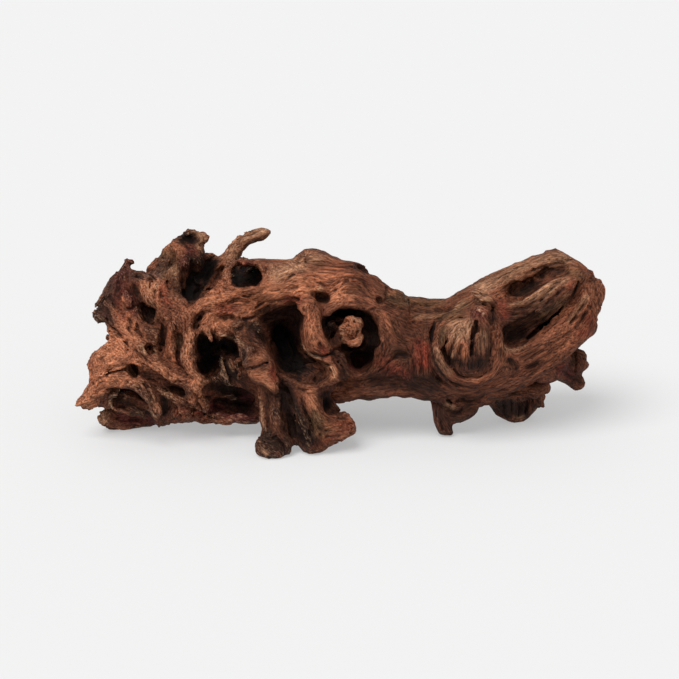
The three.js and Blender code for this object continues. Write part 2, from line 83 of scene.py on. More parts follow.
class Tone(Enum):
    """The colours of the wood, as red, green and blue from 0 to 255. The two darkest are painted shade, laid
    into holes, hollows, grooves and recesses where shade falls.
    """

    HEART = (98, 58, 41)
    WARM = (140, 86, 61)
    ORANGE = (162, 104, 75)
    TAN = (150, 112, 86)
    PALE = (188, 148, 116)
    RED = (100, 42, 30)
    WINE = (74, 33, 30)
    OLIVE = (84, 62, 42)
    BROWN = (76, 45, 31)
    GREY = (70, 53, 45)
    UMBER = (52, 31, 23)
    # Painted shade for grooves, recesses and creases.
    DARK = (31, 19, 14)
    # Painted shadow for holes and the deepest hollows.
    BLACK = (14, 9, 7)

    def linear(self) -> Array:
        """Returns the colour as the light that it sends back."""
        share = np.array(self.value) / 255.0
        return np.where(share <= 0.04045, share / 12.92, ((share + 0.055) / 1.055) ** 2.4)


@dataclass(frozen=True)
class Sight:
    """A viewer's directions: across to the right, rise up the view, near towards the eye, in mm."""

    side: Side = Side.FRONT

    def directions(self) -> Array:
        """Returns the across, rise and near directions as the rows of a matrix."""
        round_angle, above = (math.radians(v) for v in self.side.value)
        level = math.cos(above)
        near = np.array([math.sin(round_angle) * level, -math.cos(round_angle) * level, math.sin(above)])
        across = np.array([math.cos(round_angle), math.sin(round_angle), 0.0])
        return np.array([across, np.cross(near, across), near])

    def place(self, stations: Array) -> Array:
        """Turns stations into places in the wood's own frame.

        Args:
            stations: rows of across, rise and near, as they look from the eye.

        Returns:
            The places, one row each. In front, what is nearer looks larger, so it is drawn in a little.
        """
        seen = np.array(stations, float)
        if self.side is Side.FRONT:
            seen[:, :2] *= 1.0 - seen[:, 2:3] / EYE_DISTANCE
        return seen @ self.directions() + np.array(LOOKED_AT)


@dataclass(frozen=True)
class Limb:
    """A free run of stations [across, rise, near, radius] that wood is added or cut along.

    blend is how softly it runs into the wood, and deep stretches it along the line of sight.
    """

    act: Act
    stations: Line
    blend: float
    deep: float
    side: Side


@dataclass(frozen=True)
class Mark:
    """A line [across, rise] drawn on the surface with a round tool.

    width is the tool's radius, and height is how far a ridge stands up or a groove sinks in. A groove that
    is deeper than its tool goes straight in along the line of sight.
    """

    act: Act
    line: Line
    width: float
    height: float
    blend: float
    side: Side


@dataclass(frozen=True)
class Stain:
    """A stretch of another colour, fading out from a line [across, rise] on the surface."""

    tone: Tone
    line: Line
    radius: float
    strength: float
    side: Side
    # A stain inside a hollow is laid on after the painted hollow shade, which does not darken it.
    inside: bool = False


def ridge(width: float, height: float, *line: Point, blend: float = 1.2, side: Side = Side.FRONT) -> Mark:
    """Returns a raised mark along a line."""
    return Mark(Act.ADD, line, width, height, blend, side)


def groove(width: float, height: float, *line: Point, blend: float = 0.0, side: Side = Side.FRONT) -> Mark:
    """Returns a sunk mark along a line, whose lips are the softer the wider it is."""
    return Mark(Act.CUT, line, width, height, blend or 0.6 + 0.25 * width, side)


def stain(tone: Tone, radius: float, *line: Point, strength: float = 0.8, side: Side = Side.FRONT) -> Stain:
    """Returns a stretch of colour along a line."""
    return Stain(tone, line, radius, strength, side)


def lining(tone: Tone, radius: float, *line: Point, strength: float = 0.8, side: Side = Side.FRONT) -> Stain:
    """Returns a stretch of colour inside a hollow, laid on after the painted hollow shade so that this does
    not darken it.
    """
    return Stain(tone, line, radius, strength, side, inside=True)


def grow(*stations: Point, blend: float = 2.0, deep: float = 1.0, side: Side = Side.FRONT) -> Limb:
    """Returns a limb that adds wood."""
    return Limb(Act.ADD, stations, blend, deep, side)


def carve(*stations: Point, blend: float = 1.2, deep: float = 1.0, side: Side = Side.FRONT) -> Limb:
    """Returns a limb that cuts wood away."""
    return Limb(Act.CUT, stations, blend, deep, side)


def smooth_line(line: Array, spacing: float) -> Array:
    """Draws a smooth curve through points.

    Args:
        line: the points, one row each, with any number of columns.
        spacing: about how far apart the new points lie, over the first two columns.

    Returns:
        The points of the curve, which passes through every given point.
    """
    line = np.asarray(line, float)
    if len(line) < 2:
        return line
    ends = np.vstack([2 * line[0] - line[1], line, 2 * line[-1] - line[-2]])
    drawn = []
    for before, start, end, after in zip(ends[:-3], ends[1:-2], ends[2:-1], ends[3:]):
        count = max(1, int(np.linalg.norm((end - start)[:2]) / spacing))
        t = (np.arange(count) / count)[:, None]
        bend = (2 * before - 5 * start + 4 * end - after) * t**2
        twist = (3 * start - before - 3 * end + after) * t**3
        drawn.append(0.5 * (2 * start + (end - before) * t + bend + twist))
    return np.vstack([*drawn, line[-1:]])


def share_between(values: Array, ends: tuple[float, float]) -> Array:
    """Returns how far each value lies from the first end to the second, from 0 to 1."""
    return np.clip((values - ends[0]) / (ends[1] - ends[0]), 0.0, 1.0)


def smooth_min(a: Array, b: Array, blend: float) -> Array:
    """Returns the smaller of two fields, rounded where they meet."""
    h = np.maximum(blend - np.abs(a - b), 0) / blend
    return np.minimum(a, b) - h * h * blend * 0.25


def soften(values: Array, sigma: float) -> Array:
    """Blurs a block of samples.

    Args:
        values: the samples, in three dimensions.
        sigma: the blur's standard deviation, in samples.

    Returns:
        A new block of the same shape.
    """
    reach = max(1, math.ceil(2.4 * sigma))
    weights = np.exp(-0.5 * (np.arange(-reach, reach + 1) / sigma) ** 2)
    weights = (weights / weights.sum()).astype(np.float32)
    result = values.astype(np.float32)
    for axis in range(3):
        widths = [(reach, reach) if a == axis else (0, 0) for a in range(3)]
        padded = np.moveaxis(np.pad(result, widths, mode="edge"), axis, 0)
        length = result.shape[axis]
        blurred = padded[:length] * weights[0]
        for k, weight in enumerate(weights[1:], 1):
            blurred += padded[k:k + length] * weight
        result = np.moveaxis(blurred, 0, axis)
    return result


class Samples:
    """Numbers on an even grid of points in the wood's frame, read between the points."""

    def __init__(self, values: Array, low: Array, cell: float) -> None:
        """Keeps the numbers, the place of the first point, and the spacing, in mm."""
        self.values = values
        self.low = np.array(low, float)
        self.cell = cell

    def read(self, places: Array) -> Array:
        """Reads one number for each place.

        Args:
            places: rows of x, y and z, in mm.

        Returns:
            The numbers, blended from the eight points round each place.
        """
        at = np.clip((places - self.low) / self.cell, 0, np.array(self.values.shape) - 1.001)
        whole = at.astype(np.int32)
        part = (at - whole).astype(np.float32)
        total = np.zeros(len(places), np.float32)
        for corner in range(8):
            step = np.array([corner & 1, corner >> 1 & 1, corner >> 2])
            share = np.prod(np.where(step, part, 1 - part), axis=1)
            i, j, k = (whole + step).T
            total += share * self.values[i, j, k]
        return total

    def nearest(self, places: Array) -> Array:
        """Returns what the point nearest to each place holds."""
        at = ((places - self.low) / self.cell + 0.5).astype(np.int32)
        i, j, k = np.clip(at, 0, np.array(self.values.shape[:3]) - 1).T
        return self.values[i, j, k]


class WoodBlock(Samples):
    """The wood as a block of samples: each holds the distance to the surface, below zero inside."""

    # Every stroke is a little uneven: the size of its bumps in mm, their height as a share of the stroke's
    # radius, and the most that they stand out in mm.
    ROUGH_SIZE = 1.9
    ROUGH_SHARE = 0.13
    ROUGH_MOST = 0.6
    # How far before and behind the middle a line of sight is followed, and in what steps, in mm.
    SIGHT_REACH = 80.0
    END_REACH = 170.0
    SIGHT_STEP = 0.6
    # A mark is parted where it jumps further than this from one point to the next, in mm.
    JUMP = 4.5
    # A mark starts and ends at this share of its width.
    TIP = 0.45
    LEAST_RADIUS = 0.4
    LIMB_SPACING = 2.5

    def __init__(self, points: Array, triangles: Array, cell: float, margin: float) -> None:
        """Samples a closed mesh.

        Args:
            points: the mesh's points, in mm.
            triangles: its triangles, as rows of point numbers.
            cell: the spacing of the samples, in mm.
            margin: how far the distances are true on either side of the surface, in mm.
        """
        grid = openvdb.FloatGrid.createLevelSetFromPolygons(
            points.astype(np.float32), triangles=triangles.astype(np.uint32),
            transform=openvdb.createLinearTransform(voxelSize=cell), halfWidth=margin / cell,
        )
        low, high = grid.evalActiveVoxelBoundingBox()
        values = np.empty([top - bottom + 1 for bottom, top in zip(low, high)], np.float32)
        grid.copyToArray(values, ijk=low)
        super().__init__(values, np.array(low) * cell, cell)
        uneven = np.random.default_rng(SEED).standard_normal(values.shape).astype(np.float32)
        rough = soften(uneven, self.ROUGH_SIZE / cell)
        self.rough = rough / rough.std()

    def outward(self, places: Array) -> Array:
        """Returns the direction straight out of the wood at each place."""
        steps = np.eye(3) * self.cell * 1.5
        slope = np.stack([self.read(places + s) - self.read(places - s) for s in steps], axis=1)
        return slope / np.maximum(np.linalg.norm(slope, axis=1, keepdims=True), 1e-6)

    def land(self, seen: Array, sight: Sight) -> tuple[Array, Array]:
        """Finds where lines of sight first meet the wood.

        Args:
            seen: rows of across and rise.
            sight: the viewer.

        Returns:
            The places in the wood's frame, and whether each line of sight met the wood at all.
        """
        furthest = self.END_REACH if sight.side in (Side.LEFT, Side.RIGHT) else self.SIGHT_REACH
        depths = np.arange(furthest, -furthest, -self.SIGHT_STEP)
        found = np.zeros((len(seen), 3))
        hit = np.zeros(len(seen), bool)
        for row, (across, rise) in enumerate(seen):
            level = np.ones_like(depths)
            path = sight.place(np.stack([across * level, rise * level, depths], 1))
            inside = np.flatnonzero(self.read(path) < 0)
            if len(inside):
                hit[row] = True
                found[row] = path[inside[0]]
        return found, hit

    def span(self, low: Array, high: Array) -> tuple[Array, Array]:
        """Returns the first sample numbers, and those after the last, of a box given in mm."""
        first = np.floor((low - self.low) / self.cell).astype(int)
        last = np.ceil((high - self.low) / self.cell).astype(int) + 1
        return np.clip(first, 0, self.values.shape), np.clip(last, 0, self.values.shape)

    def stroke(self, places: Array, radii: Array, act: Act, blend: float, stretch: Array,
               deep: float) -> None:
        """Adds or cuts a run of balls joined end to end.

        Args:
            places: the middles of the balls, in mm.
            radii: their radii.
            act: whether wood is added or cut.
            blend: how softly the run meets the wood.
            stretch: the direction that the balls are stretched in.
            deep: how far they are stretched.
        """
        squeeze = np.eye(3) + (1.0 / deep - 1.0) * np.outer(stretch, stretch)
        extent = np.sqrt(1 + (deep**2 - 1) * stretch**2)
        margin = (blend + 2 * self.cell) * extent
        first, last = self.span((places - radii[:, None] * extent).min(0) - margin,
                                (places + radii[:, None] * extent).max(0) + margin)
        if np.any(last <= first):
            return
        away = np.full(last - first, 1e3, np.float32)
        count = len(places)
        for a in range(max(1, count - 1)):
            b = min(a + 1, count - 1)
            reach = max(radii[a], radii[b]) * extent + margin
            start, stop = self.span(np.minimum(places[a], places[b]) - reach,
                                    np.maximum(places[a], places[b]) + reach)
            start, stop = np.maximum(start, first), np.minimum(stop, last)
            if np.any(stop <= start):
                continue
            axes = [self.low[k] + self.cell * np.arange(start[k], stop[k]) - places[a][k] for k in range(3)]
            offset = np.stack(np.meshgrid(*axes, indexing="ij"), axis=-1).astype(np.float32)
            offset = offset @ squeeze.astype(np.float32)
            along = ((places[b] - places[a]) @ squeeze).astype(np.float32)
            length = float(along @ along)
            if length > 1e-9:
                t = np.clip(offset @ along / length, 0, 1)
                radius = radii[a] + t * (radii[b] - radii[a])
                gap = np.linalg.norm(offset - t[..., None] * along, axis=-1) - radius
            else:
                gap = np.linalg.norm(offset, axis=-1) - radii[a]
            local = tuple(slice(s, e) for s, e in zip(start - first, stop - first))
            away[local] = np.minimum(away[local], gap)
        region = tuple(slice(s, e) for s, e in zip(first, last))
        away += min(self.ROUGH_MOST, self.ROUGH_SHARE * float(radii.mean())) * self.rough[region]
        old = self.values[region]
        if act is Act.ADD:
            self.values[region] = smooth_min(old, away, blend)
        else:
            self.values[region] = -smooth_min(-old, away, blend)

    def shape_limb(self, limb: Limb) -> Array:
        """Adds or cuts a free run of stations and returns its places."""
        sight = Sight(limb.side)
        stations = smooth_line(np.array(limb.stations), self.LIMB_SPACING)
        places = sight.place(stations[:, :3])
        radii = np.maximum(stations[:, 3], self.LEAST_RADIUS)
        self.stroke(places, radii, limb.act, limb.blend, sight.directions()[2], limb.deep)
        return places

    def shape_mark(self, mark: Mark, wobble: float) -> Array:
        """Draws a mark on the surface.

        Args:
            mark: the line and the tool.
            wobble: how far the line strays from side to side, in mm.

        Returns:
            The places that it was drawn at.
        """
        sight = Sight(mark.side)
        near = sight.directions()[2]
        seen = smooth_line(np.array(mark.line), max(1.1, 0.5 * mark.width))[:, :2]
        run = np.arange(len(seen))
        phase = float(seen[0].sum())
        seen = seen + wobble * np.stack([np.sin(run * 0.9 + phase), np.sin(run * 0.7 + 2 * phase)], 1)
        places, hit = self.land(seen, sight)
        if len(run) > 2:
            taper = np.sin(np.pi * (run + 1) / (len(run) + 1)) ** 0.4
        else:
            taper = np.ones(len(run))
        radii = mark.width * (self.TIP + (1.0 - self.TIP) * taper)
        deep = 1.0
        if mark.act is Act.CUT and mark.height > mark.width:
            deep = mark.height / mark.width
            sink = np.zeros(len(run))
        elif mark.act is Act.CUT:
            sink = radii - mark.height * taper
        else:
            sink = mark.height * taper - radii
        jumps = np.linalg.norm(np.diff(places, axis=0), axis=1) > self.JUMP + mark.width
        for piece in np.split(run, np.flatnonzero(jumps) + 1):
            piece = piece[hit[piece]]
            if len(piece) == 0:
                continue
            if deep > 1.0:
                middles = places[piece]
            else:
                middles = places[piece] + self.outward(places[piece]) * sink[piece, None]
            self.stroke(middles, radii[piece], mark.act, mark.blend, near, deep)
        return places[hit]

    def keep_above(self, height: float) -> None:
        """Cuts the wood level at a height, so that its feet stay flat."""
        levels = self.low[2] + self.cell * np.arange(self.values.shape[2])
        np.maximum(self.values, (height - levels)[None, None, :], out=self.values)

    def surface(self) -> tuple[Array, Array]:
        """Returns the surface's points in mm and its four-sided faces."""
        grid = openvdb.FloatGrid(float(self.values.max()))
        grid.transform = openvdb.createLinearTransform(voxelSize=self.cell)
        grid.gridClass = openvdb.GridClass.LEVEL_SET
        grid.copyFromArray(self.values, ijk=(0, 0, 0))
        points, faces = grid.convertToQuads(isovalue=0.0)
        return points.astype(float) + self.low, faces[:, ::-1]


@dataclass(frozen=True)
class Strands:
    """A kind of grain: how thick and long its lines are, and how high on smooth and on torn wood, in mm."""

    size: float
    length: float
    smooth: float = 0.0
    torn: float = 0.0

    def height(self, fibrous: Array) -> Array:
        """Returns the relief's height in mm where the wood is torn by the given share."""
        return self.smooth + (self.torn - self.smooth) * fibrous


@dataclass(frozen=True)
class Grain:
    """The run of the wood's fibres: which way they lie, and the relief that they leave, in mm."""

    # The directions are worked out at points this far apart, from guides within this reach. Where there is
    # no guide, this small pull lays the fibres lengthwise.
    spacing: float = 3.0
    reach: float = 20.0
    lengthwise: float = 0.0004
    # A guide's pieces that are shorter or longer than this, in mm, pull at nothing.
    shortest: float = 0.5
    longest: float = 40.0
    fibre: Strands = Strands(1.3, 9.0, 0.055, 0.275)
    strand: Strands = Strands(2.8, 24.0, 0.05, 0.70)
    fold: Strands = Strands(6.5, 50.0, 0.55, 0.275)
    ragged: Strands = Strands(3.0, 14.0)
    strand_level: float = 0.8
    crack_depth: float = 0.9
    crack_start: float = 1.9
    crack_span: float = 0.8

    def directions(self, block: WoodBlock, guides: list[Array]) -> Samples:
        """Works out the fibres' direction all through the block.

        Args:
            block: the wood.
            guides: runs of places that the fibres follow.

        Returns:
            Unit directions on a coarse grid of points.
        """
        extent = np.array(block.values.shape) * block.cell
        count = np.ceil(extent / self.spacing).astype(int) + 1
        axes = [block.low[k] + self.spacing * np.arange(count[k]) for k in range(3)]
        places = np.stack(np.meshgrid(*axes, indexing="ij"), axis=-1)
        pull = np.zeros((*count, 3, 3), np.float32)
        pull[..., 0, 0] = self.lengthwise
        for guide in guides:
            if len(guide) < 2:
                continue
            thinned = np.vstack([guide[:: max(1, len(guide) // 10)], guide[-1:]])
            for start, end in zip(thinned[:-1], thinned[1:]):
                along = end - start
                length = float(np.linalg.norm(along))
                if not self.shortest <= length <= self.longest:
                    continue
                along = along / length
                low = np.floor((np.minimum(start, end) - self.reach - block.low) / self.spacing).astype(int)
                high = np.ceil((np.maximum(start, end) + self.reach - block.low) / self.spacing).astype(int)
                low, high = np.clip(low, 0, count), np.clip(high, 0, count)
                region = tuple(slice(s, e) for s, e in zip(low, high))
                offset = places[region] - start
                t = np.clip(offset @ along, 0, length)
                away = np.linalg.norm(offset - t[..., None] * along, axis=-1)
                weight = np.maximum(0, 1 - away / self.reach) ** 2 / (away**2 + 6.0)
                pull[region] += (weight[..., None, None] * np.outer(along, along)).astype(np.float32)
        _, vectors = np.linalg.eigh(pull)
        return Samples(vectors[..., 2].astype(np.float32), block.low, self.spacing)

    def combed(self, ways: Samples, places: Array, kind: Strands, seed: int) -> Array:
        """Draws random grain out along the fibres.

        Args:
            ways: the fibres' directions.
            places: where the grain is wanted, in mm.
            kind: the kind of grain.
            seed: which random grain.

        Returns:
            One number for each place, spread evenly about zero.
        """
        random = np.random.default_rng(seed)
        cell = kind.size / 1.7
        extent = np.array(ways.values.shape[:3]) * ways.cell
        noise = random.standard_normal(np.ceil(extent / cell).astype(int) + 2).astype(np.float32)
        grains = Samples(soften(noise, 0.75), ways.low, cell)
        step = max(kind.size * 0.6, kind.length / 24)
        half = max(1, round(kind.length / step / 2))
        total = grains.nearest(places) * 1.0
        start = ways.nearest(places)
        for sign in (1.0, -1.0):
            way = start * sign
            at = places.astype(np.float32) + way * step
            for count in range(half):
                total += (1.0 - 0.6 * (count + 1) / half) * grains.nearest(at)
                turned = ways.nearest(at)
                way = turned * np.where(np.sum(turned * way, axis=1, keepdims=True) < 0, -1, 1)
                at = at + way * step
        return (total - total.mean()) / total.std()


@dataclass
class Part:
    """A stretch of the root: its limbs, the marks on its surface, its colours, some of them painted shade,
    and the run of its grain.

    limbs are free strokes, marks are drawn on the surface, and spurs stand in the hollows once they are cut.
    guides are lines [across, rise, near] that the grain follows and that carve nothing.
    """

    name: str = "part"
    limbs: tuple[Limb, ...] = ()
    marks: tuple[Mark, ...] = ()
    spurs: tuple[Limb, ...] = ()
    stains: tuple[Stain, ...] = ()
    guides: tuple[Line, ...] = ()

    def shape(self, block: WoodBlock) -> list[Array]:
        """Carves the limbs and returns the lines that the grain follows."""
        runs = [block.shape_limb(limb) for limb in self.limbs]
        return runs + [Sight().place(smooth_line(np.array(guide), 4.0)) for guide in self.guides]

    def scratch(self, block: WoodBlock, wobble: float) -> list[Array]:
        """Draws the marks, which stray by the wobble in mm, and returns where they run."""
        log.info("%s: %d limbs and %d marks", self.name, len(self.limbs), len(self.marks))
        return [block.shape_mark(mark, wobble) for mark in self.marks]

    def stand(self, block: WoodBlock) -> list[Array]:
        """Puts the spurs into the hollows and returns where they run."""
        return [block.shape_limb(spur) for spur in self.spurs]


@dataclass
class DarkLump(Part):
    """The dark folded lump at the far left, with its prong and the holes beside it."""

    name: str = "dark lump"
    hole: float = 4.2
    hole_depth: float = 5.5
    limbs: tuple[Limb, ...] = (
        grow((-127.4, 38, 6, 4.2), (-126.8, 42, 5, 2.5), (-126.4, 44.6, 4.5, 1.6), blend=1.5),
        carve((-132, 50, 8, 3), (-126.6, 50, 8, 3), (-121.6, 43.4, 8, 3.6), (-117.4, 43, 8, 2.8),
              (-114, 45.6, 8, 2.4), deep=12, blend=0.6),
        grow((-128.6, 43, 5, 2.6), (-127, 46.6, 5, 1.6), (-124.4, 46.4, 5, 1.3), blend=1),
        carve((-132.6, 46.6, 5, 3.2), (-134, 43.8, 5, 3.4), (-138, 42.4, 5, 2), deep=4, blend=0.8),
        grow((-113, 41, 2, 3), (-108.6, 46, 2, 3), blend=1.5),
        carve((-141.8, 37.6, 14, 2.6), (-144.4, 29.4, 14, 2.6), (-147.4, 24, 14, 2.4),
              (-150.4, 19.4, 14, 2.2), deep=14, blend=1.2),
        grow((-143.4, 15, 8, 3.6), (-141, 10, 8, 3.4), blend=3),
    )
    marks: tuple[Mark, ...] = (
        groove(1.2, 1.2, (-133.5, 37), (-133, 31), (-134, 26), (-132, 22)),
        groove(5, 2.4, (-126, 36), (-125, 28), (-123, 22), blend=3),
        groove(1, 1.1, (-136, 37), (-138, 31), (-142, 26)),
        groove(0.9, 1, (-134, 34), (-137, 28), (-139, 25), (-143, 22)),
        ridge(1.5, 1.4, (-143.5, 25), (-140, 22), (-137, 18), (-134, 13), (-131.5, 8), (-128, 4), (-122, 0),
              (-118, -5), (-112, -11)),
        groove(2.6, 2.8, (-140, 18), (-137, 13), (-135, 8.5)),
        groove(1, 1.6, (-142, 19), (-139, 11), (-134, 5), (-129, 1)),
        ridge(1.4, 1.3, (-146, 13), (-141, 8.5), (-135, 4), (-129, 0), (-125, -4)),
        groove(1.2, 1.8, (-138, 5), (-132, 1.5), (-128, -2), (-125, -7)),
        groove(1, 1.3, (-137, 26), (-132, 20), (-128, 18), (-124, 20)),
        groove(0.9, 1.2, (-135, 21), (-131, 17), (-127, 12), (-124, 9)),
        groove(0.9, 1.1, (-131, 14), (-128, 9), (-124, 5)),
        groove(0.8, 1.1, (-127, 14), (-125, 8), (-121, 4)),
        groove(3.4, 3.4, (-121.5, 31), (-120, 24), (-118.5, 17), (-117.5, 12), blend=2),
        groove(hole, hole_depth, (-115.5, 18.5), (-113.5, 14.5), (-113, 12.5)),
        ridge(1.6, 1.8, (-112.5, 11), (-110, 12.5), (-108, 15)),
        ridge(5, 2.4, (-117.5, 5.5), (-113, 4), (-110.5, 2), blend=2.5),
        groove(0.9, 1.3, (-121.5, 10), (-120.5, 5), (-118.5, 1.5)),
        groove(2.6, 4, (-106, 10), (-105.6, 3), (-106.6, -3), blend=1.2),
        ridge(1.1, 1.1, (-121.5, 1.5), (-117.5, -2), (-111, -3.3), (-107, -4)),
        groove(2.9, 9, (-115, -5), (-113, -7.5)),
        ridge(0.9, 1.2, (-118.6, -3), (-117.6, -7), (-115.5, -9.6)),
        ridge(0.8, 1.1, (-111.3, -5), (-110.4, -9)),
        groove(1.1, 3.5, (-107.3, -6)),
        groove(1.1, 3.5, (-105.2, -8)),
        groove(0.9, 3, (-107, -10)),
        ridge(1.3, 1.4, (-104, -4), (-103.2, -10), (-103, -15), (-101, -19)),
        groove(0.8, 1.1, (-110, -10), (-106, -14), (-104, -18)),
        groove(0.8, 1, (-114, -11), (-108, -16), (-103, -20)),
        groove(0.8, 1, (-119, -9), (-113, -15), (-106, -20), (-100, -23)),
    )
    # Painted shade: the darkest stain along the long groove and the hole, and the UMBER stains in the slots
    # at either side, are shade painted into those hollows.
    stains: tuple[Stain, ...] = (
        stain(Tone.BROWN, 12, (-132, 32), (-128, 20), (-122, 10), strength=0.5),
        stain(Tone.GREY, 8, (-137, 37), (-141, 28), (-144, 19), (-142, 12)),
        stain(Tone.UMBER, 6, (-142, 22), (-140, 15), (-136, 9)),
        stain(Tone.WINE, 9, (-128, 38), (-125, 30), (-124, 24), strength=1),
        stain(Tone.UMBER, 5, (-136, 40), (-130, 43), (-124, 40), strength=0.8),
        stain(Tone.RED, 3.4, (-130, 22), (-126, 17), (-130, 13)),
        stain(Tone.WINE, 5, (-128, 44), (-126, 46)),
        stain(Tone.ORANGE, 2.2, (-130, 24), (-128, 18), (-125, 12), (-122, 8), strength=0.7),
        stain(Tone.WARM, 3, (-134, 16), (-131, 10), (-126, 5), (-121, 0)),
        stain(Tone.DARK, 5, (-121, 28), (-119, 20), (-117, 13), (-113, 16), strength=0.95),
        stain(Tone.UMBER, 3, (-106, 8), (-106, -2), strength=0.9),
        stain(Tone.BROWN, 5, (-117, 5), (-112, 2)),
        stain(Tone.PALE, 1.2, (-118.3, -4), (-117, -8), strength=0.7),
        stain(Tone.PALE, 1, (-111, -6), (-110.4, -9), strength=0.6),
        stain(Tone.PALE, 1.2, (-111, 11.5), (-109, 13), strength=0.5),
    )


@dataclass
class BrokenHorns(Part):
    """The broad broken horn, the curved horn, the twig and the split between them."""

    name: str = "broken horns"
    limbs: tuple[Limb, ...] = (
        grow((-64, 46, -15, 6), (-63, 52, -15, 5.2), (-60, 56.6, -14, 4.6), (-55.4, 60, -13, 3.8),
             (-49.6, 61.8, -13, 3.4), (-44.6, 64, -12, 2.4), blend=1.5),
        grow((-80.5, 49.5, -8, 1.1), (-76.5, 50.8, -8, 0.9), (-73.4, 52.6, -8, 0.8), blend=0.8),
        carve((-108, 57.6, 10, 3.2), (-102.4, 62.2, 10, 3.4), (-98, 64.2, 10, 3.2), (-94.2, 67.6, 10, 3),
              deep=12, blend=0.6),
        grow((-84, 60, 1, 4.4), (-81.6, 61.4, 0, 3.4), blend=1.5),
        carve((-78.4, 52.8, 6, 3), (-79.2, 55.8, 6, 3), deep=6, blend=0.6),
        carve((-95.4, 61, 12, 2.8), (-92, 61, 10, 4.2), (-88.4, 60.8, 9.6, 4.2), deep=1.9, blend=0.5),
        carve((-86.4, 47, 16, 4.6), (-87, 42, 15, 6.2), (-88.6, 35, 14, 6.6), (-91, 28, 14, 4.8),
              (-92, 24.6, 16, 2.4), deep=2, blend=1),
        carve((-79.4, 43.4, 16, 3.8), (-83, 37, 15, 4.8), (-87, 30, 14, 4.4), deep=2, blend=0.8),
    )
    marks: tuple[Mark, ...] = (
        ridge(1.6, 1.6, (-84, 25), (-80, 31), (-77, 36), (-73, 42), (-71, 45)),
        ridge(2.4, 1.6, (-118.5, 36), (-117, 30), (-115, 24)),
        ridge(1.7, 2, (-116, 34), (-116, 27), (-112.5, 21)),
        ridge(1.5, 2, (-111.5, 34), (-111.5, 27), (-110, 22)),
        ridge(1.4, 1.8, (-108, 33.5), (-109, 27.5), (-109.5, 23)),
        groove(0.9, 1.6, (-114, 34), (-114, 27), (-112, 23)),
        groove(0.8, 1.5, (-109.8, 33.5), (-110.4, 27)),
        groove(0.8, 1, (-107.5, 27), (-101, 23.2)),
        groove(1.6, 2.2, (-104.5, 37), (-103, 33), (-102, 30)),
        groove(1.6, 2.6, (-122, 37.5), (-117, 37), (-112, 35)),
        groove(1.2, 1.8, (-116, 40), (-111.5, 36.5), (-109, 35)),
        groove(0.9, 1.6, (-106, 45), (-110, 41.5), (-114, 38)),
        ridge(1, 1.2, (-105.5, 44), (-108.5, 41.5)),
        ridge(2.2, 1.2, (-96.5, 58), (-93.5, 51), (-92, 43), (-94, 36), blend=2),
        groove(1, 0.9, (-101, 57), (-100, 50), (-103, 42)),
        ridge(1.3, 1.2, (-104, 58), (-99, 60), (-96, 59.5), (-93, 56.5), (-90, 56), (-86.5, 52.5)),
        groove(1, 0.8, (-62, 62), (-57, 63.5), (-51, 65)),
    )
    # Painted shade: the near-black stains and linings fill the hole and the split, the darkest lining and
    # the first UMBER stain lie in the hollow and groove, and the WINE stain darkens the horn's right face as
    # shade.
    stains: tuple[Stain, ...] = (
        stain(Tone.OLIVE, 7, (-104, 51), (-100, 45), (-106, 40)),
        stain(Tone.UMBER, 4, (-118, 38), (-112, 40), (-107, 43), (-104, 46), strength=0.9),
        stain(Tone.WARM, 3.5, (-103, 56), (-98, 57), (-95, 54)),
        stain(Tone.TAN, 3, (-99, 40), (-98, 36)),
        stain(Tone.WINE, 4.5, (-89, 54), (-90, 50), (-92, 44), strength=0.95),
        lining(Tone.BLACK, 4.4, (-94, 60), (-91, 62), (-89.6, 59), strength=1),
        lining(Tone.BLACK, 3.6, (-93, 60.6), (-91, 61), strength=1),
        stain(Tone.TAN, 2.5, (-86, 64), (-82, 61), (-84, 56)),
        stain(Tone.GREY, 4, (-120, 38), (-113, 39), (-109, 38)),
        stain(Tone.ORANGE, 5, (-117, 31), (-113, 26), (-109, 30), strength=0.95),
        stain(Tone.PALE, 1, (-115, 33), (-114, 28), strength=0.5),
        stain(Tone.PALE, 1, (-110, 33), (-110, 28), strength=0.5),
        stain(Tone.RED, 4, (-105, 30), (-103, 24)),
        stain(Tone.OLIVE, 3, (-99, 27), (-98, 33)),
        stain(Tone.BLACK, 5.4, (-78, 44), (-82, 41), (-88, 36), (-90, 29), (-92, 25), strength=1),
        lining(Tone.BLACK, 8, (-80, 42), (-84, 38), (-88, 34), (-90, 28), strength=1),
        lining(Tone.BLACK, 6, (-79, 43), (-84, 39), (-88, 33), (-90, 27), strength=1),
        lining(Tone.DARK, 4, (-88, 47), (-84, 47), strength=0.9),
        stain(Tone.BROWN, 3.6, (-100, 36), (-99, 28), (-97, 24), strength=0.8),
        stain(Tone.UMBER, 4, (-82, 49), (-74, 48), (-68, 48)),
        stain(Tone.TAN, 6, (-66, 50), (-64, 57), (-56, 62), (-46, 64.5), strength=0.9),
        stain(Tone.BROWN, 2.2, (-61, 55), (-60, 60), (-53, 64)),
        stain(Tone.WARM, 3, (-80, 31), (-75, 39), (-71, 44)),
    )
    guides: tuple[Line, ...] = (
        ((-108, 30, 14), (-101, 42, 12), (-96, 54, 10), (-90, 64, 4)),
        ((-66, 44, -15), (-64, 54, -14), (-56, 61, -13), (-44, 65, -12)),
        ((-104, 30, -6), (-98, 44, -6), (-90, 60, -6)),
    )


